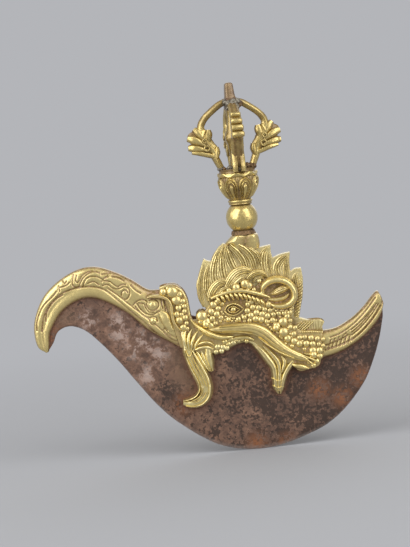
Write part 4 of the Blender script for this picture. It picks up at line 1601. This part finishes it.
spike_dirt = np.broadcast_to(0.25 + 0.6 * soft_step(60, 58.6, spike_line[:, :1]), spike_rings.shape[:2])
one_skin("worn_spike", spike_rings, spike_dirt, worn_bronze, ())

# %% [markdown]
# ### Collar and bosses
#
# The collar spreads from the solder line down into the hair. Its section is a blunt oval that
# shifts and widens from level to level, with three soft folds, so it is a skin over rings too.
# Round bosses on the sleeves are the heads of the rivets that hold sleeve and blade.

# %% Collar that widens from the solder line into the hair
# Levels: height, left and right end and half depth, in millimetres
COLLAR = np.array([
    [-15.9, -12, 7.2, 4.9], [-14.2, -11.2, 7.6, 5.4], [-12.4, -9.9, 7.6, 5.9], [-10.8, -8.3, 7.4, 6.2],
    [-9.6, -7, 7.2, 6.3], [-8.8, -6.2, 6.8, 6.1], [-8.4, -5.4, 6, 5.4]])
# Soft folds: place along X at the top, shift to the left per millimetre of fall, height in millimetres
COLLAR_FOLDS = [[-3.2, 0.5, 0.8], [5.4, 0.0, 0.6], [1.4, 0.3, -0.5]]
FOLD_MM = 1.9
collar_line = evenly(smooth(COLLAR, 6), 34, columns=1)
collar_turn = np.linspace(0, 2 * np.pi, 96, endpoint=False)
middle_x = (collar_line[:, 1:2] + collar_line[:, 2:3]) / 2
half_x = (collar_line[:, 2:3] - collar_line[:, 1:2]) / 2
blunt = (np.abs(np.cos(collar_turn))**3 + np.abs(np.sin(collar_turn))**3)**(-1 / 3)
collar_x = middle_x + half_x * blunt * np.cos(collar_turn)
collar_y = collar_line[:, 3:4] * blunt * np.sin(collar_turn)
fallen = COLLAR[-1, 0] - collar_line[:, :1]
fold = sum(rise * np.exp(-((collar_x - at + drift * fallen) / FOLD_MM)**2)
           for at, drift, rise in COLLAR_FOLDS)
under_hair = soft_step(-3.5, -6.5, collar_x) * soft_step(-11, -14, collar_line[:, :1])
collar_y *= 1 - 0.4 * under_hair
collar_y += fold * np.sign(collar_y) * np.abs(np.sin(collar_turn))
collar_dirt = np.clip(0.3 - 1.0 * fold, 0, 1) * soft_step(0.2, 0.8, np.abs(np.sin(collar_turn)))
collar_rings = np.stack([collar_x, collar_y, collar_line[:, :1] + 0 * collar_x], -1)
one_skin("bell_collar", collar_rings, collar_dirt, chased_brass, ("neck_collar",))

# %% Bosses of the sleeves: two domed rivet heads and a flush one at the tail
# Rows are photo x, photo y and radius in pixels
DOMED_BOSSES = [[152.5, 304.4, 3.3], [153.6, 320.4, 2.3]]
FLUSH_BOSS = [[348.5, 331, 3.4]]
boss_bm = new_bmesh()
beads(boss_bm, DOMED_BOSSES, 3.9, fine=3, sunk=0.6)
beads(boss_bm, FLUSH_BOSS, 1.9, fine=3)
twin = far_face(boss_bm)
make_piece(boss_bm, "sleeve_bosses", chased_brass, ("sleeve_rivets",))
make_piece(twin, "sleeve_bosses_back", chased_brass)

# %% [markdown]
# ## Dirt in the low places
#
# Fingers polish what stands proud, and wax and dust stay where they can't reach. The relief is
# turned into a height map on a quarter millimetre grid and blurred; a vertex that lies below the
# blurred height around it is in a hollow and gets the film. Walls that face sideways stay clean,
# so that no dark line runs round a form. The iron beside the brass gets the same value, which
# its finish reads as a brown stain.

# %% Steps of the height map
MAP_STEP_MM = 0.25
# Blur in millimetres, depth in millimetres that fills a hollow, and its share of the dirt
MAP_BLURS = ((0.5, 0.35, 0.65), (1.5, 1.2, 0.5))
# Share of the dirt that the chasing itself left in its strokes
KEPT_SHARE = 0.85
# Empty border of the map in millimetres
MAP_BORDER_MM = 4
# A wall begins to take dirt and takes all of it where its normal has this much of Y
FACING = (0.05, 0.35)

# %% Blur a map, and read a mesh
def blurred(grid, sigma):
    reach = int(3 * sigma) + 1
    bell = np.exp(-0.5 * (np.arange(-reach, reach + 1) / sigma)**2)
    for axis in (0, 1):
        grid = np.apply_along_axis(np.convolve, axis, grid, bell / bell.sum(), mode="same")
    return grid


def read(collection, key, width):
    """Rows of one property of every vertex."""
    rows = np.empty(len(collection) * width)
    collection.foreach_get(key, rows)
    return rows.reshape(-1, width)

# %% Settle the dirt
def settle_dirt(pieces):
    """Add the dirt of the hollows to every piece of relief."""
    coords = [read(piece.data.vertices, "co", 3) / MM for piece in pieces]
    values = [read(piece.data.attributes[HOLLOW].data, "value", 1)[:, 0] for piece in pieces]
    normals = [read(piece.data.vertex_normals, "vector", 3) for piece in pieces]
    facing = [soft_step(*FACING, np.abs(normal[:, 1])) for normal in normals]
    every = np.vstack(coords)
    corner = every[:, (0, 2)].min(0) - MAP_BORDER_MM
    size = ((every[:, (0, 2)].max(0) + MAP_BORDER_MM - corner) / MAP_STEP_MM).astype(int)
    heights = np.zeros(size)
    cells = ((every[:, (0, 2)] - corner) / MAP_STEP_MM).astype(int)
    np.maximum.at(heights, (cells[:, 0], cells[:, 1]), np.abs(every[:, 1]))
    known = (heights > 0).astype(float)
    maps = []
    for sigma_mm, scale_mm, share in MAP_BLURS:
        sigma = sigma_mm / MAP_STEP_MM
        around = blurred(heights, sigma) / np.maximum(blurred(known, sigma), 1e-3)
        maps.append((around, scale_mm, share))
    for piece, place, value, front in zip(pieces, coords, values, facing):
        cell = ((place[:, (0, 2)] - corner) / MAP_STEP_MM).astype(int)
        low = sum(share * np.clip((around[cell[:, 0], cell[:, 1]] - np.abs(place[:, 1])) / scale, 0, 1)
                  for around, scale, share in maps)
        value = np.clip((KEPT_SHARE * value + low) * front, 0, 1)
        piece.data.attributes[HOLLOW].data.foreach_set("value", value)
        print(piece.name, "mean dirt:", round(float(value.mean()), 2))


settle_dirt(relief_pieces)
